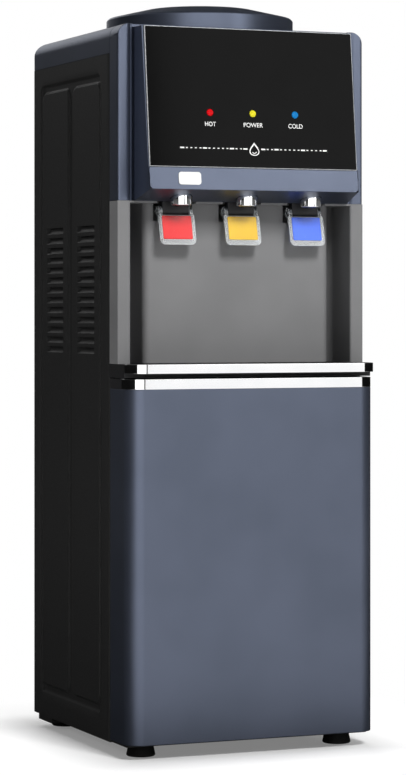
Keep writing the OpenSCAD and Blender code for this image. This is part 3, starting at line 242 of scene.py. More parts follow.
# %% Bright metals
LINE_MM, LINE_DEEP, MARK_LOW, MARK_HIGH = 0.6, 0.006, 0.25, 0.75


def metal(name, dark, light, rough, range_up, cell_mm, pattern="ShaderNodeTexNoise", relief_mm=0.0):
    material, tree, place = start_finish(name)
    sized = add(tree, "ShaderNodeMapping", {"Vector": place, "Scale": [1 / (s * MM) for s in cell_mm]})
    marks = add(tree, pattern, {"Vector": sized.outputs["Vector"], "Scale": 1.0})
    value = marks.outputs["Fac" if pattern == "ShaderNodeTexNoise" else "Color"]
    end_finish(tree, {"Base Color": two_tones(tree, value, dark, light), "Metallic": 1.0,
                      "Roughness": spread(tree, value, rough, rough + range_up, MARK_LOW, MARK_HIGH),
                      "Normal": relief(tree, value, 0.5, relief_mm)})
    return material


finish["chrome_plate"] = metal("chrome_plate_polished", "#F9FAFB", "#FDFDFE", 0.04, 0.04, (40, 40, 40))
finish["stainless_steel"] = metal("stainless_drawn", "#B4B6B7", "#C6C8C9", 0.26, 0.14, (LINE_MM, LINE_MM, 70),
                                  relief_mm=LINE_DEEP)
finish["zinc_steel"] = metal("steel_zinc_plated", "#A7AAAE", "#BFC2C6", 0.32, 0.12, (5, 5, 5),
                             "ShaderNodeTexVoronoi")
finish["aluminium"] = metal("aluminium_extruded", "#B9BBBD", "#CBCDCF", 0.3, 0.12, (LINE_MM, 40, LINE_MM),
                            relief_mm=LINE_DEEP)
print("metals: chrome, stainless, zinc, aluminium")

# %% [markdown]
# ## Glass, clear plastic and lamps
# The control panel is glass painted black on its back, so the eye sees a deep even black with only a thin
# gloss. The paddles' frames are clear polycarbonate, which bends light strongly (its index is 1.58). Cut edges
# of glass and of clear plastic catch light and look paler than the faces; that light is painted here, as a
# pale finish of its own on each edge (painted highlight).
# Each indicator lamp is a tinted lens with a small light behind it, so it also glows.

# %% Glass and clear plastic
GLASS_IOR, CLEAR_IOR = 1.5, 1.58
material, tree, place = start_finish("glass_back_painted_black")
wipe = noise(tree, place, 55, 3.0)
end_finish(tree, {"Base Color": two_tones(tree, wipe, "#070707", "#0A0A0A"),
                  "Roughness": spread(tree, wipe, 0.07, 0.14), "IOR": GLASS_IOR, "Specular IOR Level": 0.03})
finish["black_glass"] = material

# Painted highlight: the glass's bevels get a pale grey finish that stands in for light caught along the cut
# edge.
material, tree, place = start_finish("glass_rim_painted_highlight")
highlight_wander = noise(tree, place, 4)
end_finish(tree, {"Base Color": two_tones(tree, highlight_wander, "#B4B6B8", "#D0D2D4"),
                  "Roughness": spread(tree, highlight_wander, 0.1, 0.25), "IOR": GLASS_IOR})
finish["glass_edge"] = material

material, tree, place = start_finish("polycarbonate_clear")
flow = noise(tree, place, 9)
end_finish(tree, {"Base Color": two_tones(tree, flow, "#EEF3F5", "#F8FBFC"),
                  "Roughness": spread(tree, flow, 0.02, 0.1), "Normal": relief(tree, flow, 0.4, 0.03),
                  "IOR": CLEAR_IOR, "Transmission Weight": 0.84})
finish["clear_plastic"] = material

# Painted highlight: the levers' bevels get a whiter, less clear finish that stands in for light caught along
# the cut edge.
material, tree, place = start_finish("polycarbonate_rim_painted_highlight")
flow = noise(tree, place, 5)
end_finish(tree, {"Base Color": two_tones(tree, flow, "#E6EBEE", "#F6F9FA"),
                  "Roughness": spread(tree, flow, 0.08, 0.2), "IOR": CLEAR_IOR, "Transmission Weight": 0.25})
finish["clear_bevel_painted_highlight"] = material
print("glass and clear plastic, each with an edge finish")

# %% Lamp lenses
FACET_MM, LENS_IOR, GLOW = 1.5, 1.49, 0.2
lenses = {"red": ("#C0020A", "#D80814"), "yellow": ("#C9BC1C", "#E9DF30"), "blue": ("#0A64A0", "#1C84CC")}
for colour, (dark, light) in lenses.items():
    material, tree, place = start_finish(colour + "_lamp_lens_acrylic")
    facet = cells(tree, place, FACET_MM)
    end_finish(tree, {"Base Color": two_tones(tree, facet, light, dark, 0.1, 0.8),
                      "Roughness": spread(tree, facet, 0.12, 0.22), "IOR": LENS_IOR,
                      "Specular IOR Level": 0.05, "Emission Color": linear(light), "Emission Strength": GLOW})
    finish[colour + "_lens"] = material
print("lamp lenses:", len(lenses))

# %% [markdown]
# ## Inside materials
# The cold tank wears a jacket of foamed plastic, whose closed cells of about 3 mm leave shallow dimples, and
# the boards are glass-fibre laminate under green lacquer, with a weave of about 1 mm that shows through.

# %% Foam and circuit board
FOAM_MM, DIMPLE_DEEP, WEAVE_MM = 3, 0.4, 1
material, tree, place = start_finish("foam_closed_cell")
dimple = cells(tree, place, FOAM_MM)
end_finish(tree, {"Base Color": two_tones(tree, dimple, "#CFCAB8", "#DDD9CB", 0.1, 0.7), "Roughness": 0.9,
                  "Normal": relief(tree, dimple, 0.7, DIMPLE_DEEP), "Specular IOR Level": 0.2})
finish["foam"] = material

material, tree, place = start_finish("glass_fibre_board_green")
weave = add(tree, "ShaderNodeTexChecker", {"Vector": place, "Scale": 1 / (WEAVE_MM * MM),
                                           "Color1": linear("#0E3A20"), "Color2": linear("#124526")})
end_finish(tree, {"Base Color": weave.outputs["Color"],
                  "Roughness": spread(tree, weave.outputs["Fac"], 0.3, 0.4), "IOR": 1.55})
finish["circuit_board"] = material
for name, piece in nodes.items():
    piece.data.materials.clear()
    piece.data.materials.append(finish[slot_of[name]])
print("finishes:", len(finish), "on", len(nodes), "pieces")

# %% [markdown]
# ## Small helpers for shapes
# A shape is made as a mesh, linked into the scene and, when its modifiers have done their work, settled: the
# result is kept as a plain mesh. Dressing a piece gives it the finish of its slot when it has none, parents it
# to the body it rides on and hides the solids it stands for.

# %% Shape helpers
def mesh_of(name, points, faces):
    mesh = bpy.data.meshes.new(name)
    mesh.from_pydata(points, [], faces)
    return mesh


def mesh_from(form, name):
    mesh = bpy.data.meshes.new(name)
    form.to_mesh(mesh)
    form.free()
    return mesh


def smooth(mesh):
    for face in mesh.polygons:
        face.use_smooth = True


def link(name, data):
    piece = bpy.data.objects.new(name, data)
    bpy.context.scene.collection.objects.link(piece)
    return piece


def settle(piece, name):
    bpy.context.view_layer.update()
    graph = bpy.context.evaluated_depsgraph_get()
    mesh = bpy.data.meshes.new_from_object(piece.evaluated_get(graph))
    bpy.data.objects.remove(piece)
    return link(name, mesh)


def dress(piece, body, slot, *stands_for):
    if not piece.data.materials:
        piece.data.materials.append(finish[slot])
    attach(piece, body)
    if stands_for:
        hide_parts(*stands_for)
    return piece


print("finishes ready to dress with:", len(finish))

# %% [markdown]
# ## Rounded edges on the moulded pieces
# No moulded or pressed piece has a perfectly sharp edge, and the thin bright line along each edge is what
# makes a picture of it believable. The solids could be bevelled by hand, but their shape is right already,
# so each one is copied, its loose triangles are joined, its flat faces are made whole (and cut again only
# where they are hollow in outline, which a bevel dislikes), and a small bevel goes along every edge sharper
# than 35 degrees. The copy then stands for the solid. The control glass and the clear levers get a paler
# edge: their bevels carry the pale edge finish, which is a painted highlight. On these only some edges are
# rounded. The glass keeps its lamp holes crisp, and behind its pin a lever has steps smaller than the bevel,
# which would swell into the tap.

# %% Rounding
BEND, WELD_MM, FLAT = 35.0, 0.002, 0.5


def choose_edges(mesh, wanted):
    form = bmesh.new()
    form.from_mesh(mesh)
    weight = form.edges.layers.float.new("bevel_weight_edge")
    for edge in form.edges:
        bent = edge.calc_face_angle(0.0) > math.radians(BEND)
        chosen = bent and wanted((edge.verts[0].co + edge.verts[1].co) / 2)
        edge[weight] = float(chosen)
        edge.smooth = chosen or not bent
    form.to_mesh(mesh)
    form.free()


def soften(piece, width_mm, steps=2, rim=-1, limit="ANGLE"):
    smooth(piece.data)
    edge = piece.modifiers.new("edge", "BEVEL")
    edge.material = rim
    edge.width = width_mm * MM
    edge.segments = steps
    edge.limit_method = limit
    edge.angle_limit = math.radians(BEND)
    edge.use_clamp_overlap = False
    shade = piece.modifiers.new("shade", "WEIGHTED_NORMAL")
    shade.mode = "FACE_AREA"
    shade.keep_sharp = limit == "WEIGHT"


def rounded(name, width_mm, steps=2, rim=None, wanted=None):
    form = bmesh.new()
    form.from_mesh(nodes[name].data)
    bmesh.ops.remove_doubles(form, verts=form.verts[:], dist=WELD_MM * MM)
    bmesh.ops.dissolve_limit(form, angle_limit=math.radians(FLAT), verts=form.verts[:], edges=form.edges[:])
    bmesh.ops.connect_verts_concave(form, faces=form.faces[:])
    form.verts.index_update()
    mesh = mesh_of(name + "_form", [v.co[:] for v in form.verts],
                   [[v.index for v in f.verts] for f in form.faces])
    form.free()
    for slot in (slot_of[name], rim) if rim else (slot_of[name],):
        mesh.materials.append(finish[slot])
    if wanted:
        choose_edges(mesh, wanted)
    piece = link(name + "_form", mesh)
    soften(piece, width_mm, steps, 1 if rim else -1, "WEIGHT" if wanted else "ANGLE")
    return dress(settle(piece, name + "_rounded"), body_of[name], slot_of[name], name)


print("edges sharper than", BEND, "degrees are rounded")

# %% Rounded copies
TAPS = ("hot", "room", "cold")
SHARP_REAR, RIM_MM, FULLER_FROM = 8.5, 3.0, 0.6
lever_rear = max(v.co.y for v in nodes["hot_lever"].data.vertices)
glass_low = [min(v.co[i] for v in nodes["control_glass"].data.vertices) for i in range(3)]
glass_high = [max(v.co[i] for v in nodes["control_glass"].data.vertices) for i in range(3)]


def before_pin(middle):
    return middle.y < lever_rear - SHARP_REAR * MM


def on_outline(middle):
    return min(min(middle[i] - glass_low[i], glass_high[i] - middle[i]) for i in (0, 2)) < RIM_MM * MM


edges_mm = {
    "head_housing": 0.8, "top_cover": 0.8, "bottle_collar": 0.6, "door_shell": 1.0, "door_rail": 0.5,
    "niche_panel": 0.3, "tray_deck": 0.5, "drip_tray": 0.5, "tray_trim": 0.4, "door_trim": 0.4,
    "badge": 0.25, "feet": 0.8,
    "bottle_funnel": 0.5, "bottle_spike": 0.4, "drain_plug": 0.6, "power_inlet": 0.4, "hot_switch": 0.4,
    "cold_switch": 0.4, "door_liner": 0.6, "cabinet_liner": 0.6, "lamp_red": 0.3, "lamp_yellow": 0.3,
    "lamp_blue": 0.3,
}
for tap in TAPS:
    edges_mm.update({tap + "_lever_plate": 0.3, tap + "_tap_body": 0.4})
    # The lever's bevels carry the pale edge finish, a painted highlight.
    rounded(tap + "_lever", 0.8, 3, "clear_bevel_painted_highlight", before_pin)
for name, width in edges_mm.items():
    rounded(name, width, 3 if width >= FULLER_FROM else 2)
# The glass's outer bevels carry the pale edge finish, a painted highlight.
rounded("control_glass", 1.0, 3, "glass_edge", on_outline)
print("rounded pieces:", len(edges_mm) + len(TAPS) + 1)

# %% [markdown]
# ## Chrome spouts
# Each tap ends in a short chromed sleeve. A mirror shows every facet, so the sleeve is turned afresh from its
# profile in 72 steps: a rounded lower lip, a faint waist and a straight wall, with the bore left open.

# %% Turned spouts
def turned(name, profile, axis_at, axis, steps):
    form = bmesh.new()
    centre = Vector(axis_at) * MM
    side = Vector((1, 0, 0))
    line = [form.verts.new(centre + side * r * MM + Vector(axis) * up * MM) for r, up in profile]
    wire = [form.edges.new(pair) for pair in zip(line, line[1:])]
    bmesh.ops.spin(form, geom=line + wire, cent=centre, axis=axis, angle=2 * math.pi, steps=steps)
    bmesh.ops.remove_doubles(form, verts=form.verts[:], dist=2 * WELD_MM * MM)
    bmesh.ops.recalc_face_normals(form, faces=form.faces[:])
    mesh = mesh_from(form, name)
    smooth(mesh)
    return link(name, mesh)


BORE_R, LIP_R, SPOUT_STEPS = 8.06, 1.4, 72
lip_turns = [math.radians(15 * i) for i in range(7)]
for tap in TAPS:
    low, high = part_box(tap + "_spout")
    r, tall = (high.x - low.x) / 2 / MM, (high.z - low.z) / MM
    lip = [(r - LIP_R + LIP_R * math.sin(a), LIP_R - LIP_R * math.cos(a)) for a in lip_turns]
    profile = [(BORE_R, tall), (BORE_R, 1.0), (BORE_R + 0.5, 0.2), (BORE_R + 1.0, 0.0)] + lip
    profile += [(r - 0.25, tall * 0.45), (r, tall - 0.6), (r - 0.5, tall), (BORE_R, tall)]
    at = ((low.x + high.x) / 2 / MM, (low.y + high.y) / 2 / MM, low.z / MM)
    piece = turned(tap + "_spout_turned", profile, at, (0, 0, 1), SPOUT_STEPS)
    dress(piece, "cabinet", "chrome_plate", tap + "_spout")
    print(piece.name, "radius", round(r, 2), "mm,", len(piece.data.polygons), "faces")

# %% [markdown]
# ## Pressed side panels
# Each side panel is one sheet of steel, 1.5 mm thick, pressed in a die: a sunken field with two raised panels
# inside it, and a folded front edge. A pressing is a height field, so the sheet is a grid whose points sink by
# a rule: the distance to a rounded rectangle, eased so that the corners roll as drawn metal does. The grid
# lines crowd where the metal bends. The openings for the louvres are left out of the grid, and Solidify gives
# the sheet its thickness on the inside.

# %% Pressing rule
panel_low, panel_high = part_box("left_side_panel")
SEAM_Y, PANEL_Y = panel_low.y / MM, (panel_high.y - panel_low.y) / MM
PANEL_Z0, PANEL_Z1 = panel_low.z / MM, panel_high.z / MM
HALF_W, SHEET, FIELD_DEEP, RAISED_AT, FOLD = 180, 1.5, 4.0, 0.5, 8.0
FIELD_R, RAISED_R, RAISED_SLOPE = 11, 9, 3.5
field = (34.0, 274.0, 49.5, 910.5)
raised = ((41.0, 144.0, 63.5, 896.5), (164.0, 267.0, 63.5, 896.5))
LOUVRE_W, LOUVRE_H, LOUVRE_PITCH, LOUVRE_ROWS, LOUVRE_Z, LOUVRE_IN = 67.0, 8.5, 13.8, 13, 532.5, 18.0


def ease(t):
    t = min(max(t, 0.0), 1.0)
    return t * t * (3 - 2 * t)


def outside(y, z, rect, r):
    dy = abs(y - (rect[0] + rect[1]) / 2) - (rect[1] - rect[0]) / 2 + r
    dz = abs(z - (rect[2] + rect[3]) / 2) - (rect[3] - rect[2]) / 2 + r
    return math.hypot(max(dy, 0), max(dz, 0)) + min(max(dy, dz), 0) - r


def depth(y, z):
    sunk = FIELD_DEEP * ease(-outside(y, z, field, FIELD_R) / FIELD_DEEP)
    for rect in raised:
        rise = ease(outside(y, z, rect, RAISED_R) / RAISED_SLOPE)
        sunk = min(sunk, RAISED_AT + (FIELD_DEEP - RAISED_AT) * rise)
    return sunk


print("depth on a raised panel, in the field, on the border:",
      [round(depth(y, 300), 2) for y in (90, 154, 10)])

# %% Grid lines
FINE, WIDE = 1.2, 30


def lines(*runs):
    found = set()
    for a, b, step in runs:
        n = max(1, round((b - a) / step))
        found.update(round(a + (b - a) * i / n, 3) for i in range(n + 1))
    return found


columns = sorted(lines((1, 33.5, 11), (33.5, 53, FINE), (53, 59, 3), (59, 126, 12), (126, 132, 3),
                       (132, 176, FINE), (176, 182, 3), (182, 249, 12), (249, 255, 3), (255, 274.5, FINE),
                       (274.5, PANEL_Y, 9)))
row_edges = [LOUVRE_Z + i * LOUVRE_PITCH + e for i in range(LOUVRE_ROWS) for e in (0, LOUVRE_H)]
rows = sorted(lines((PANEL_Z0, 49, 10), (49, 75, FINE), (75, LOUVRE_Z, WIDE), (row_edges[-1], 885, WIDE),
                    (885, 911, FINE), (911, PANEL_Z1, 8)) | {round(e, 3) for e in row_edges})
fold = [(0.0, FOLD), (0.0, 1.0), (0.3, 0.3)]
print("grid lines:", len(columns), "upright,", len(rows), "level")

# %% Side panel sheets
CUT = math.radians(40)
OUTER_SAMPLE = 2000


def in_opening(y, z):
    beside = any(0 < y - rect[0] - LOUVRE_IN < LOUVRE_W for rect in raised)
    return beside and any(0 < z - LOUVRE_Z - i * LOUVRE_PITCH < LOUVRE_H for i in range(LOUVRE_ROWS))


def sheet_point(side, y, z, sunk):
    return (side * (HALF_W - sunk) * MM, (SEAM_Y + y) * MM, z * MM)


def grid_faces(wide, tall, side, left_out=lambda i, j: False):
    faces = []
    for j in range(tall - 1):
        for i in range(wide - 1):
            if not left_out(i, j):
                near, far = j * wide + i, (j + 1) * wide + i
                face = [near, far, far + 1, near + 1]
                faces.append(face if side < 0 else face[::-1])
    return faces


def sheet(name, points, faces, thick_mm):
    mesh = mesh_of(name, points, faces)
    smooth(mesh)
    piece = link(name, mesh)
    wall = piece.modifiers.new("wall", "SOLIDIFY")
    wall.thickness = thick_mm * MM
    wall.offset = -1
    return piece


def over_louvre(i, j):
    k = i - len(fold)
    return k >= 0 and in_opening((columns[k] + columns[k + 1]) / 2, (rows[j] + rows[j + 1]) / 2)


for name, side in (("left_side_panel", -1), ("right_side_panel", 1)):
    points = []
    for z in rows:
        points += [sheet_point(side, y, z, sunk) for y, sunk in fold]
        points += [sheet_point(side, y, z, depth(y, z)) for y in columns]
    faces = grid_faces(len(fold) + len(columns), len(rows), side, over_louvre)
    piece = settle(sheet(name + "_sheet", points, faces, SHEET), name + "_pressed")
    dress(piece, "cabinet", slot_of[name], name)
    piece.data.set_sharp_from_angle(angle=CUT)
    normal = sum((f.normal.x * f.area for f in piece.data.polygons if f.index < OUTER_SAMPLE), 0.0)
    way = "outwards" if normal * side > 0 else "inwards"
    print(piece.name, len(piece.data.polygons), "faces, outer side", way)

# %% [markdown]
# ## A bank of copies
# Louvres, grille bars, screws and printed dashes are all one shape repeated in rows and columns. A Geometry
# Nodes tree does that once for all of them: two lines of points, the copy set on the first line and the result
# on the second. Its inputs are the counts, the steps and the finish. The copies are made real at the end,
# because only plain meshes leave this file.

# %% Bank tree
bank_tree = bpy.data.node_groups.new("bank_of_copies", "GeometryNodeTree")
for label, kind in (("Copy", "Geometry"), ("Rows", "Int"), ("Row step", "Vector"), ("Columns", "Int"),
                    ("Column step", "Vector"), ("Finish", "Material")):
    bank_tree.interface.new_socket(label, in_out="INPUT", socket_type="NodeSocket" + kind)
bank_tree.interface.new_socket("Bank", in_out="OUTPUT", socket_type="NodeSocketGeometry")
given = add(bank_tree, "NodeGroupInput").outputs
row_line = add(bank_tree, "GeometryNodeMeshLine",
               {"Count": given["Rows"], "Offset": given["Row step"]}, mode="OFFSET")
column_line = add(bank_tree, "GeometryNodeMeshLine",
                  {"Count": given["Columns"], "Offset": given["Column step"]}, mode="OFFSET")
row_copies = add(bank_tree, "GeometryNodeInstanceOnPoints",
                 {"Points": row_line.outputs["Mesh"], "Instance": given["Copy"]})
one_row = add(bank_tree, "GeometryNodeRealizeInstances", {"Geometry": row_copies.outputs["Instances"]})
all_copies = add(bank_tree, "GeometryNodeInstanceOnPoints",
                 {"Points": column_line.outputs["Mesh"], "Instance": one_row.outputs["Geometry"]})
real = add(bank_tree, "GeometryNodeRealizeInstances", {"Geometry": all_copies.outputs["Instances"]})
painted = add(bank_tree, "GeometryNodeSetMaterial",
              {"Geometry": real.outputs["Geometry"], "Material": given["Finish"]})
add(bank_tree, "NodeGroupOutput", {"Bank": painted.outputs["Geometry"]})


def bank(piece, name, slot, rows=1, row_step=(0, 0, 0), columns=1, column_step=(0, 0, 0)):
    values = {"Rows": rows, "Row step": [s * MM for s in row_step], "Columns": columns,
              "Column step": [s * MM for s in column_step], "Finish": finish[slot]}
    layer = piece.modifiers.new("bank", "NODES")
    layer.node_group = bank_tree
    for item in bank_tree.interface.items_tree:
        if item.in_out == "INPUT" and item.name in values:
            layer[item.identifier] = values[item.name]
    return settle(piece, name)


print("bank inputs:", [item.name for item in bank_tree.interface.items_tree if item.in_out == "INPUT"])

# %% [markdown]
# ## Louvres
# The panels breathe through two columns of louvres. Each louvre is a tongue of the same sheet, cut along its
# top and pushed inwards, so that it rolls over at the bottom, slopes from the panel's face to a dark slit at
# the top and runs out smoothly at both ends. One tongue is a small grid with that slope as its rule; the bank
# repeats it 13 times up the panel and twice across it.

# %% Louvre tongues
ACROSS, CROWD, RUN_OUT, TONGUE_T = 20, 0.35, 6, 0.7
slope = [(0.0, 0.0), (0.5, 0.7), (1.2, 1.6), (2.2, 2.4), (4.2, 3.3), (6.4, 4.2), (LOUVRE_H, 5.0)]


def tongue(name, side):
    y0 = raised[0][0] + LOUVRE_IN
    points = []
    for rise, deepest in slope:
        for i in range(ACROSS + 1):
            t = i / ACROSS
            u = LOUVRE_W * (0.5 - 0.5 * math.cos(math.pi * t)) * CROWD + LOUVRE_W * t * (1 - CROWD)
            inward = deepest * ease(min(u, LOUVRE_W - u) / RUN_OUT)
            points.append(sheet_point(side, y0 + u, LOUVRE_Z + rise, RAISED_AT + inward))
    return sheet(name, points, grid_faces(ACROSS + 1, len(slope), side), SHEET * TONGUE_T)


for side, word in ((-1, "left"), (1, "right")):
    louvres = bank(tongue("tongue_" + word, side), word + "_louvres", "black_painted_steel", LOUVRE_ROWS,
                   (0, 0, LOUVRE_PITCH), 2, (0, raised[1][0] - raised[0][0], 0))
    dress(louvres, "cabinet", "black_painted_steel")
    louvres.data.set_sharp_from_angle(angle=CUT)
    print(louvres.name, len(louvres.data.polygons), "faces")

# %% [markdown]
# ## Drip grille
# The grille over the drip tray is a steel frame with thin bars that let spilt water through. The frame is a
# flat ring with rounded edges, and one bar, also rounded, is repeated 22 times by the bank. The bars reach a
# little into the frame and lie a little below its top.

# %% Grille frame and bars
def block(name, low, high):
    form = bmesh.new()
    bmesh.ops.create_cube(form, size=1.0)
    for v in form.verts:
        v.co = Vector([(a + b) / 2 + c * (b - a) for a, b, c in zip(low, high, v.co)]) * MM
    return link(name, mesh_from(form, name))


def flat_ring(name, outer, inner, z0, z1):
    points = [(x * MM, y * MM, z * MM) for z in (z0, z1) for r in (outer, inner)
              for x, y in ((r[0], r[2]), (r[1], r[2]), (r[1], r[3]), (r[0], r[3]))]
    faces = []
    for i in range(4):
        j = (i + 1) % 4
        faces += [(i, 4 + i, 4 + j, j), (8 + i, 8 + j, 12 + j, 12 + i),
                  (i, j, 8 + j, 8 + i), (4 + j, 4 + i, 12 + i, 12 + j)]
    return link(name, mesh_of(name, points, faces))


grille_low, grille_high = ([c / MM for c in corner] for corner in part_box("drip_grille"))
RIM, BAR_PITCH, BARS, BAR_W = 8.0, 12.0, 22, 5.0
BAR_TUCK, BAR_LOW, BAR_DROP = 0.6, 0.1, 0.3
hole_x = BAR_PITCH * BARS / 2 + (BAR_PITCH - BAR_W) / 2
ring = flat_ring("grille_ring", (grille_low[0], grille_high[0], grille_low[1], grille_high[1]),
                 (-hole_x, hole_x, grille_low[1] + RIM, grille_high[1] - RIM), grille_low[2], grille_high[2])
soften(ring, 0.5)
dress(settle(ring, "grille_frame"), "grille", "black_painted_steel", "drip_grille")
first_x = -BAR_PITCH * (BARS - 1) / 2
bar = block("grille_bar", (first_x - BAR_W / 2, grille_low[1] + RIM - BAR_TUCK, grille_low[2] + BAR_LOW),
            (first_x + BAR_W / 2, grille_high[1] - RIM + BAR_TUCK, grille_high[2] - BAR_DROP))
soften(bar, 0.8, 3)
bars = bank(bar, "grille_bars", "black_painted_steel", columns=BARS, column_step=(BAR_PITCH, 0, 0))
dress(bars, "grille", "black_painted_steel")
print("grille bars:", BARS, "pitch", BAR_PITCH, "mm,", len(bars.data.polygons), "faces")

# %% [markdown]
# ## Rear screws
# Ten pan-head screws hold the rear panel. A pan head is a low dome with a cross driven into it; the dome is a
# profile turned about the screw's axis, the cross is cut with two crossing bars, and the bank sets five up
# each side.

# %% Screws with a cross recess
screw_low, screw_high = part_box("panel_screws")
HEAD_R, HEAD_H, SHANK_R, SCREW_ROWS, SCREW_STEPS = 3.6, 2.0, 1.5, 5, 24
CROSS_LONG, CROSS_THIN, CROSS_DEEP = 1.9, 0.45, 1.2
head_x, head_z = screw_low.x / MM + HEAD_R, screw_low.z / MM + HEAD_R
head_y, tip_y = screw_high.y / MM, screw_low.y / MM
shank = -(head_y - HEAD_H - tip_y)
profile = [(0, HEAD_H), (1.6, 1.95), (2.7, 1.6), (3.4, 0.9), (HEAD_R, 0.0), (SHANK_R, 0.0), (SHANK_R, shank),
           (0, shank)]
screw = turned("screw", profile, (head_x, head_y - HEAD_H, head_z), (0, 1, 0), SCREW_STEPS)
cutters = []
for a, b in ((CROSS_LONG, CROSS_THIN), (CROSS_THIN, CROSS_LONG)):
    cutters.append(block("cross", (head_x - a, head_y - CROSS_DEEP, head_z - b),
                         (head_x + a, head_y + 1, head_z + b)))
    cut = screw.modifiers.new("cross", "BOOLEAN")
    cut.object = cutters[-1]
    cut.operation = "DIFFERENCE"
    cut.solver = "EXACT"
screw_step = (screw_high.z - screw_low.z) / MM / (SCREW_ROWS - 1) - HEAD_R / 2
screws = bank(screw, "rear_screws", "zinc_steel", SCREW_ROWS, (0, 0, screw_step), 2, (-2 * head_x, 0, 0))
for cutter in cutters:
    bpy.data.objects.remove(cutter)
dress(screws, "cabinet", slot_of["panel_screws"], "panel_screws")
print("screws:", 2 * SCREW_ROWS, "first at", [round(v, 1) for v in (head_x, head_y, head_z)],
      len(screws.data.polygons), "faces")

# %% [markdown]
# ## Printing on the glass
# White ink is screen-printed on the control glass: a plain word under each lamp, a dashed rule, and a plain
# drop in its middle that says water. The ink is thin, so flat shapes lie just proud of the glass. Each is
# drawn flat and then stood on the glass by one matrix, which leans back with it.

# %% Words
SAME_WAY, INK_PROUD, LAMP_UP, WORD_DOWN, WORD_H, BOLDER = 0.9999, 0.06, 74.0, 15.6, 6.0, 0.006
glass = nodes["control_glass"].data
front = max(glass.polygons, key=lambda face: -face.normal.y * face.area)
level = [face for face in glass.polygons if face.normal.dot(front.normal) > SAME_WAY]
foot = min((glass.vertices[i].co for face in level for i in face.vertices), key=lambda point: point.z)
TILT = -math.atan2(front.normal.z, -front.normal.y)
on_glass = Matrix.Translation((0, foot.y, foot.z)) @ Matrix.Rotation(TILT, 4, "X")
print("glass leans back", round(-math.degrees(TILT), 2), "degrees from", [round(c / MM, 1) for c in foot])
stand_up = Matrix.Rotation(math.pi / 2, 4, "X")
INK = Matrix.Translation((0, -INK_PROUD * MM, 0))


def printed(mesh, name, x, up):
    mesh.transform(on_glass @ INK @ Matrix.Translation((x * MM, 0, up * MM)) @ stand_up)
    return dress(link(name, mesh), "cabinet", "badge_white")


for text, x, width in (("HOT", -62, 15.5), ("POWER", 0, 28), ("COLD", 62, 21)):
    letters = bpy.data.curves.new("word_" + text, "FONT")
    letters.body = text
    letters.offset = BOLDER
    piece = settle(link("word_" + text, letters), "letters_" + text)
    xs = [v.co.x for v in piece.data.vertices]
    ys = [v.co.y for v in piece.data.vertices]
    middle = Matrix.Translation((-(min(xs) + max(xs)) / 2, -(min(ys) + max(ys)) / 2, 0))
    size = Matrix.Diagonal((width * MM / (max(xs) - min(xs)), WORD_H * MM / (max(ys) - min(ys)), 1, 1))
    mesh = piece.data.copy()
    mesh.transform(size @ middle)
    bpy.data.objects.remove(piece)
    printed(mesh, "print_" + text.lower(), x, LAMP_UP - WORD_DOWN)
    print("word", text, width, "mm wide")

# %% Dashed rule
RULE_UP, RULE_FROM, MARK_STEP = 26.0, 13.0, 6.5
dash, dot = (6.0, 1.9), (2.8, 1.3)
marks = ((0, 2, 3, *dash), (1, 2, 1, *dot), (4, 5, 1, *dot), (9, 2, 5, *dash), (10, 4, 1, *dot))
SQUARE = ((-1, -1), (1, -1), (1, 1), (-1, 1))


def flat_block(name, x, w, h):
    points = [((x + a * w / 2) * MM, b * h / 2 * MM, 0) for a, b in SQUARE]
    return link(name, mesh_of(name, points, [(0, 1, 2, 3)]))


for word, way in (("left", -1), ("right", 1)):
    form = bmesh.new()
    for place, count, apart, w, h in marks:
        mark = flat_block("mark", way * (RULE_FROM + place * MARK_STEP), w, h)
        row = bank(mark, "marks", "badge_white", columns=count, column_step=(way * apart * MARK_STEP, 0, 0))
        form.from_mesh(row.data)
        bpy.data.objects.remove(row)
    printed(mesh_from(form, "print_rule_" + word), "print_rule_" + word, 0, RULE_UP)
print("rule printed", RULE_UP, "mm above the glass's lower edge")

# %% Drop
DROP_W, DROP_H, LINE, TIP_LINES, SINK_LINES = 14.3, 17.8, 1.25, 3.6, 0.8
GLEAM_R, GLEAM_DOWN, GLEAM_FROM, GLEAM_TURN, GLEAM_STEPS = (3.7, 2.7), 2.5, -150, 13, 10


def drop_curve(w, h, n=40):
    turn = [2 * math.pi * i / n for i in range(n)]
    swell = [math.sin(t) * math.sin(t / 2) ** 1.3 for t in turn]
    return [(w / 2 * s / max(swell), h / 2 * math.cos(t)) for s, t in zip(swell, turn)]


outer, inner = drop_curve(DROP_W, DROP_H), drop_curve(DROP_W - 2 * LINE, DROP_H - TIP_LINES * LINE)
inner = [(x, y - SINK_LINES * LINE) for x, y in inner]
gleam_turns = [math.radians(GLEAM_FROM + GLEAM_TURN * i) for i in range(GLEAM_STEPS + 1)]
gleam = [(r * math.cos(a), -GLEAM_DOWN + r * math.sin(a)) for r in GLEAM_R for a in gleam_turns]
n, m, arc = len(outer), 2 * len(outer), len(gleam_turns)
faces = [(i, n + i, n + (i + 1) % n, (i + 1) % n) for i in range(n)]
faces += [(m + i, m + i + 1, m + arc + i + 1, m + arc + i) for i in range(GLEAM_STEPS)]
form = bmesh.new()
form.from_mesh(mesh_of("drop", [(x * MM, y * MM, 0) for x, y in outer + inner + gleam], faces))
for face in form.faces:
    if face.normal.z < 0:
        face.normal_flip()
printed(mesh_from(form, "print_drop"), "print_drop", 0, RULE_UP)
print("drop printed", DROP_W, "by", DROP_H, "mm")

# %% [markdown]
# ## World and floor
# The dispenser stands on a plain pale floor in front of white. The world is white to the camera, to
# reflections and through clear plastic, and dimmer to the surfaces it lights, so that colours come out about
# as written. The floor goes to the same white away from the object and keeps the real shadow under and near
# it;
# there its white lift is also turned down, which paints extra shade round the base.

# %% World
WHITE = (1, 1, 1, 1)
DIM = 0.06


def seen_directly(tree):
    ray = add(tree, "ShaderNodeLightPath").outputs
    seen = calc(tree, "MAXIMUM", ray["Is Camera Ray"], ray["Is Glossy Ray"])
    return calc(tree, "MAXIMUM", seen, ray["Is Transmission Ray"])


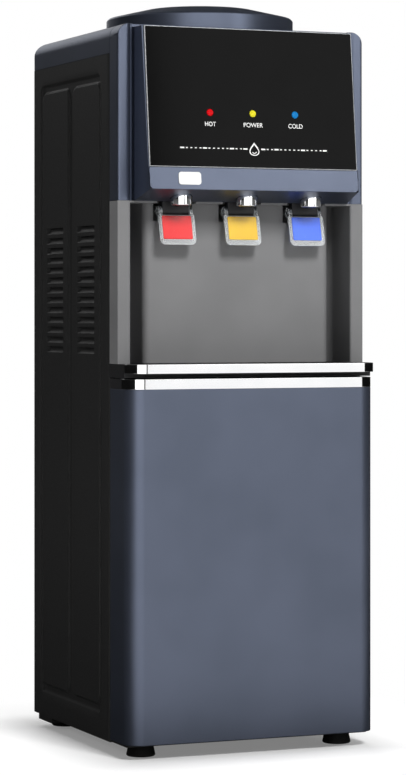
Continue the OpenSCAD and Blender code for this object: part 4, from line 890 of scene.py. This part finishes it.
scene = bpy.context.scene
scene.view_settings.view_transform = "Standard"
scene.world = bpy.data.worlds.new("studio")
tree = empty_tree(scene.world)
lit = add(tree, "ShaderNodeBackground", {"Color": WHITE, "Strength": DIM})
white = add(tree, "ShaderNodeBackground", {"Color": WHITE, "Strength": 1.0})
both = add(tree, "ShaderNodeMixShader", {"Fac": seen_directly(tree), 1: lit.outputs["Background"],
                                         2: white.outputs["Background"]})
add(tree, "ShaderNodeOutputWorld", {"Surface": both.outputs["Shader"]})
print("world: white to look at,", DIM, "to light with")

# %% Floor
FLOOR, PAINTED_SHADE_REACH, LIFT_IN_PAINTED_SHADE, LIFT_HIGH, FADE_FROM, FADE_TO = 9.0, 0.09, 0.2, 0.5, 0.04, 0.22


def step(tree, operation, result, *values):
    return add(tree, "ShaderNodeVectorMath", dict(enumerate(values)), operation=operation).outputs[result]


material, tree, place = start_finish("floor_pale")
seen = seen_directly(tree)
half = [max(-a, b) for a, b in zip(*cad_box)][:2] + [1.0]
beyond = step(tree, "SUBTRACT", "Vector", step(tree, "ABSOLUTE", "Vector", place), half)
away = step(tree, "LENGTH", "Value", step(tree, "MAXIMUM", "Vector", beyond, (0, 0, 0)))
# Painted shade: the white lift is weaker under and just round the base, so the floor there is darker whatever
# the lamps do.
lift_with_painted_shade = calc(tree, "MULTIPLY", spread(tree, away, LIFT_IN_PAINTED_SHADE, LIFT_HIGH, 0.0, PAINTED_SHADE_REACH), seen)
far = calc(tree, "MULTIPLY", spread(tree, away, 0.0, 1.0, FADE_FROM, FADE_TO), seen)
matt = add(tree, "ShaderNodeBsdfDiffuse", {"Color": linear("#E4E4E4")})
lift = add(tree, "ShaderNodeEmission", {"Color": WHITE, "Strength": lift_with_painted_shade})
blank = add(tree, "ShaderNodeEmission", {"Color": WHITE, "Strength": 1.0})
near = add(tree, "ShaderNodeAddShader", {0: matt.outputs["BSDF"], 1: lift.outputs["Emission"]})
total = add(tree, "ShaderNodeMixShader", {"Fac": far, 1: near.outputs["Shader"],
                                          2: blank.outputs["Emission"]})
add(tree, "ShaderNodeOutputMaterial", {"Surface": total.outputs["Shader"]})
corners = [(a * FLOOR, b * FLOOR, 0) for a, b in SQUARE]
floor = link("floor", mesh_of("floor", corners, [(0, 1, 2, 3)]))
floor.data.materials.append(material)
print("floor", 2 * FLOOR, "m square")

# %% [markdown]
# ## Soft boxes
# Six soft boxes stand round the dispenser. The main one is in front and high, a weak one fills from below it,
# and the others light the sides, the back and the top. They are kept out of reflections, so that the light on
# the matt surfaces can be set apart from what the bright ones mirror. Each has a place and a width in metres,
# and a strength in watts.

# %% Soft boxes
AIM_AT = Vector((0, 0, 0.6))
boxes_at = {
    "key_box": ((0.2, -2.5, 2.65), 0.8, 78), "fill_box": ((0.2, -3.2, 0.7), 1.2, 2),
    "left_box": ((-3.0, 0.5, 1.5), 1.6, 16), "right_box": ((3.0, 0.5, 1.5), 1.6, 36),
    "rear_box": ((0.3, 3.1, 1.7), 1.6, 48), "top_box": ((0, 0.1, 2.6), 1.2, 9),
}
for name, (place, wide, watts) in boxes_at.items():
    lamp = bpy.data.lights.new(name, "AREA")
    lamp.size, lamp.energy = wide, watts
    box = link(name, lamp)
    box.location = place
    box.visible_glossy = False
    box.rotation_euler = (AIM_AT - box.location).to_track_quat("-Z", "Y").to_euler()
print("soft boxes:", len(boxes_at))

# %% [markdown]
# ## Windows and dark cards
# Chrome and lacquer in a white room have nothing to show but white. A studio therefore sets bright windows
# and dark cards round the object. Here they are plain sheets seen only in reflections, and the upright ones
# glow by height: bright windows in front, dark cards beside, behind and above, and a dark band at the height
# that the chrome fronts mirror at their ends.

# %% One card
CARD_H = 2.6


def card(name, corners, *glow):
    material, tree, place = start_finish(name)
    height = add(tree, "ShaderNodeSeparateXYZ", {"Vector": place}).outputs["Z"]
    ramp = add(tree, "ShaderNodeValToRGB", {"Fac": calc(tree, "DIVIDE", height, CARD_H)})
    bright = max(level for z, level in glow)
    stops = ramp.color_ramp.elements
    stops.remove(stops[1])
    for z, level in glow:
        stop = stops.new(z / CARD_H)
        stop.color = [level / bright] * 3 + [1.0]
    stops.remove(stops[0])
    shine = add(tree, "ShaderNodeEmission", {"Color": ramp.outputs["Color"], "Strength": bright})
    add(tree, "ShaderNodeOutputMaterial", {"Surface": shine.outputs["Emission"]})
    if len(corners) == 2:
        corners = [(*corners[0], 0), (*corners[1], 0), (*corners[1], CARD_H), (*corners[0], CARD_H)]
    piece = link(name, mesh_of(name, corners, [(0, 1, 2, 3)]))
    piece.data.materials.append(material)
    piece.visible_camera = piece.visible_diffuse = piece.visible_shadow = piece.visible_transmission = False


print("upright cards are", CARD_H, "m high")

# %% Windows and cards
DARK, CARD_X, CARD_REAR, ABOVE_Z = 0.004, 1.6, 2.2, 2.65
chrome_gap = [(0.36, 0.16), (0.38, DARK), (0.54, DARK), (0.58, 0.16)]
card("window_left", ((-2.2, -2.05), (0.37, -3.0)), (0.5, 1.4), (1.1, 2.1))
card("window_right", ((1.0, -2.9), (1.6, -2.46)), (0.5, 0.98), (1.4, 5.0))
card("window_back", ((-1.0, 2.15), (-0.2, 2.15)), (1.25, DARK), (1.5, 1.3))
card("card_between", ((0.47, -2.85), (0.82, -2.75)), (1, DARK))
card("card_left", ((-CARD_X, -1.5), (-CARD_X, CARD_REAR)), *chrome_gap, (0.8, 0.08), (0.95, 0.01))
card("card_right", ((CARD_X, -2.3), (CARD_X, CARD_REAR)), *chrome_gap, (0.9, 0.12), (1.1, 0.05))
card("card_back_left", ((-CARD_X, CARD_REAR), (-0.5, CARD_REAR)), *chrome_gap, (0.9, 0.14), (1.15, 0.2),
     (1.5, 0.2), (1.6, DARK))
card("card_back_right", ((0.5, CARD_REAR), (CARD_X, CARD_REAR)), *chrome_gap, (0.9, 0.1), (1.1, DARK))
for name, y0, y1, z, level in (("card_above", -1.8, 0.7, ABOVE_Z, 0.2),
                               ("card_above_rear", 0.7, CARD_REAR, ABOVE_Z, DARK),
                               ("card_floor", -0.4, CARD_REAR, 0.001, DARK)):
    card(name, ((-CARD_X, y0, z), (CARD_X, y0, z), (CARD_X, y1, z), (-CARD_X, y1, z)), (1, level))
sheets = [piece.name for piece in bpy.data.objects if piece.name.startswith(("window", "card"))]
print("windows and cards:", len(sheets))

# %% [markdown]
# ## Camera
# The camera stands where the photograph was taken from: level, about 3.85 m off and 23 degrees round to the
# left. The lens is a short tele. It looks level and the frame is moved down by a shift, as with an
# architect's lens, so that upright edges stay upright; tilting the camera would make them lean.

# %% Camera
lens = bpy.data.cameras.new("camera")
lens.sensor_width = 36.0
lens.lens = 128.15
lens.shift_y = -0.1019
camera = link("camera", lens)
camera.location = (-1.4907, -3.5453, 0.5940)
camera.rotation_euler = (math.radians(90), 0, math.radians(-22.83))
scene.camera = camera
print("camera at", [round(c, 2) for c in camera.location])
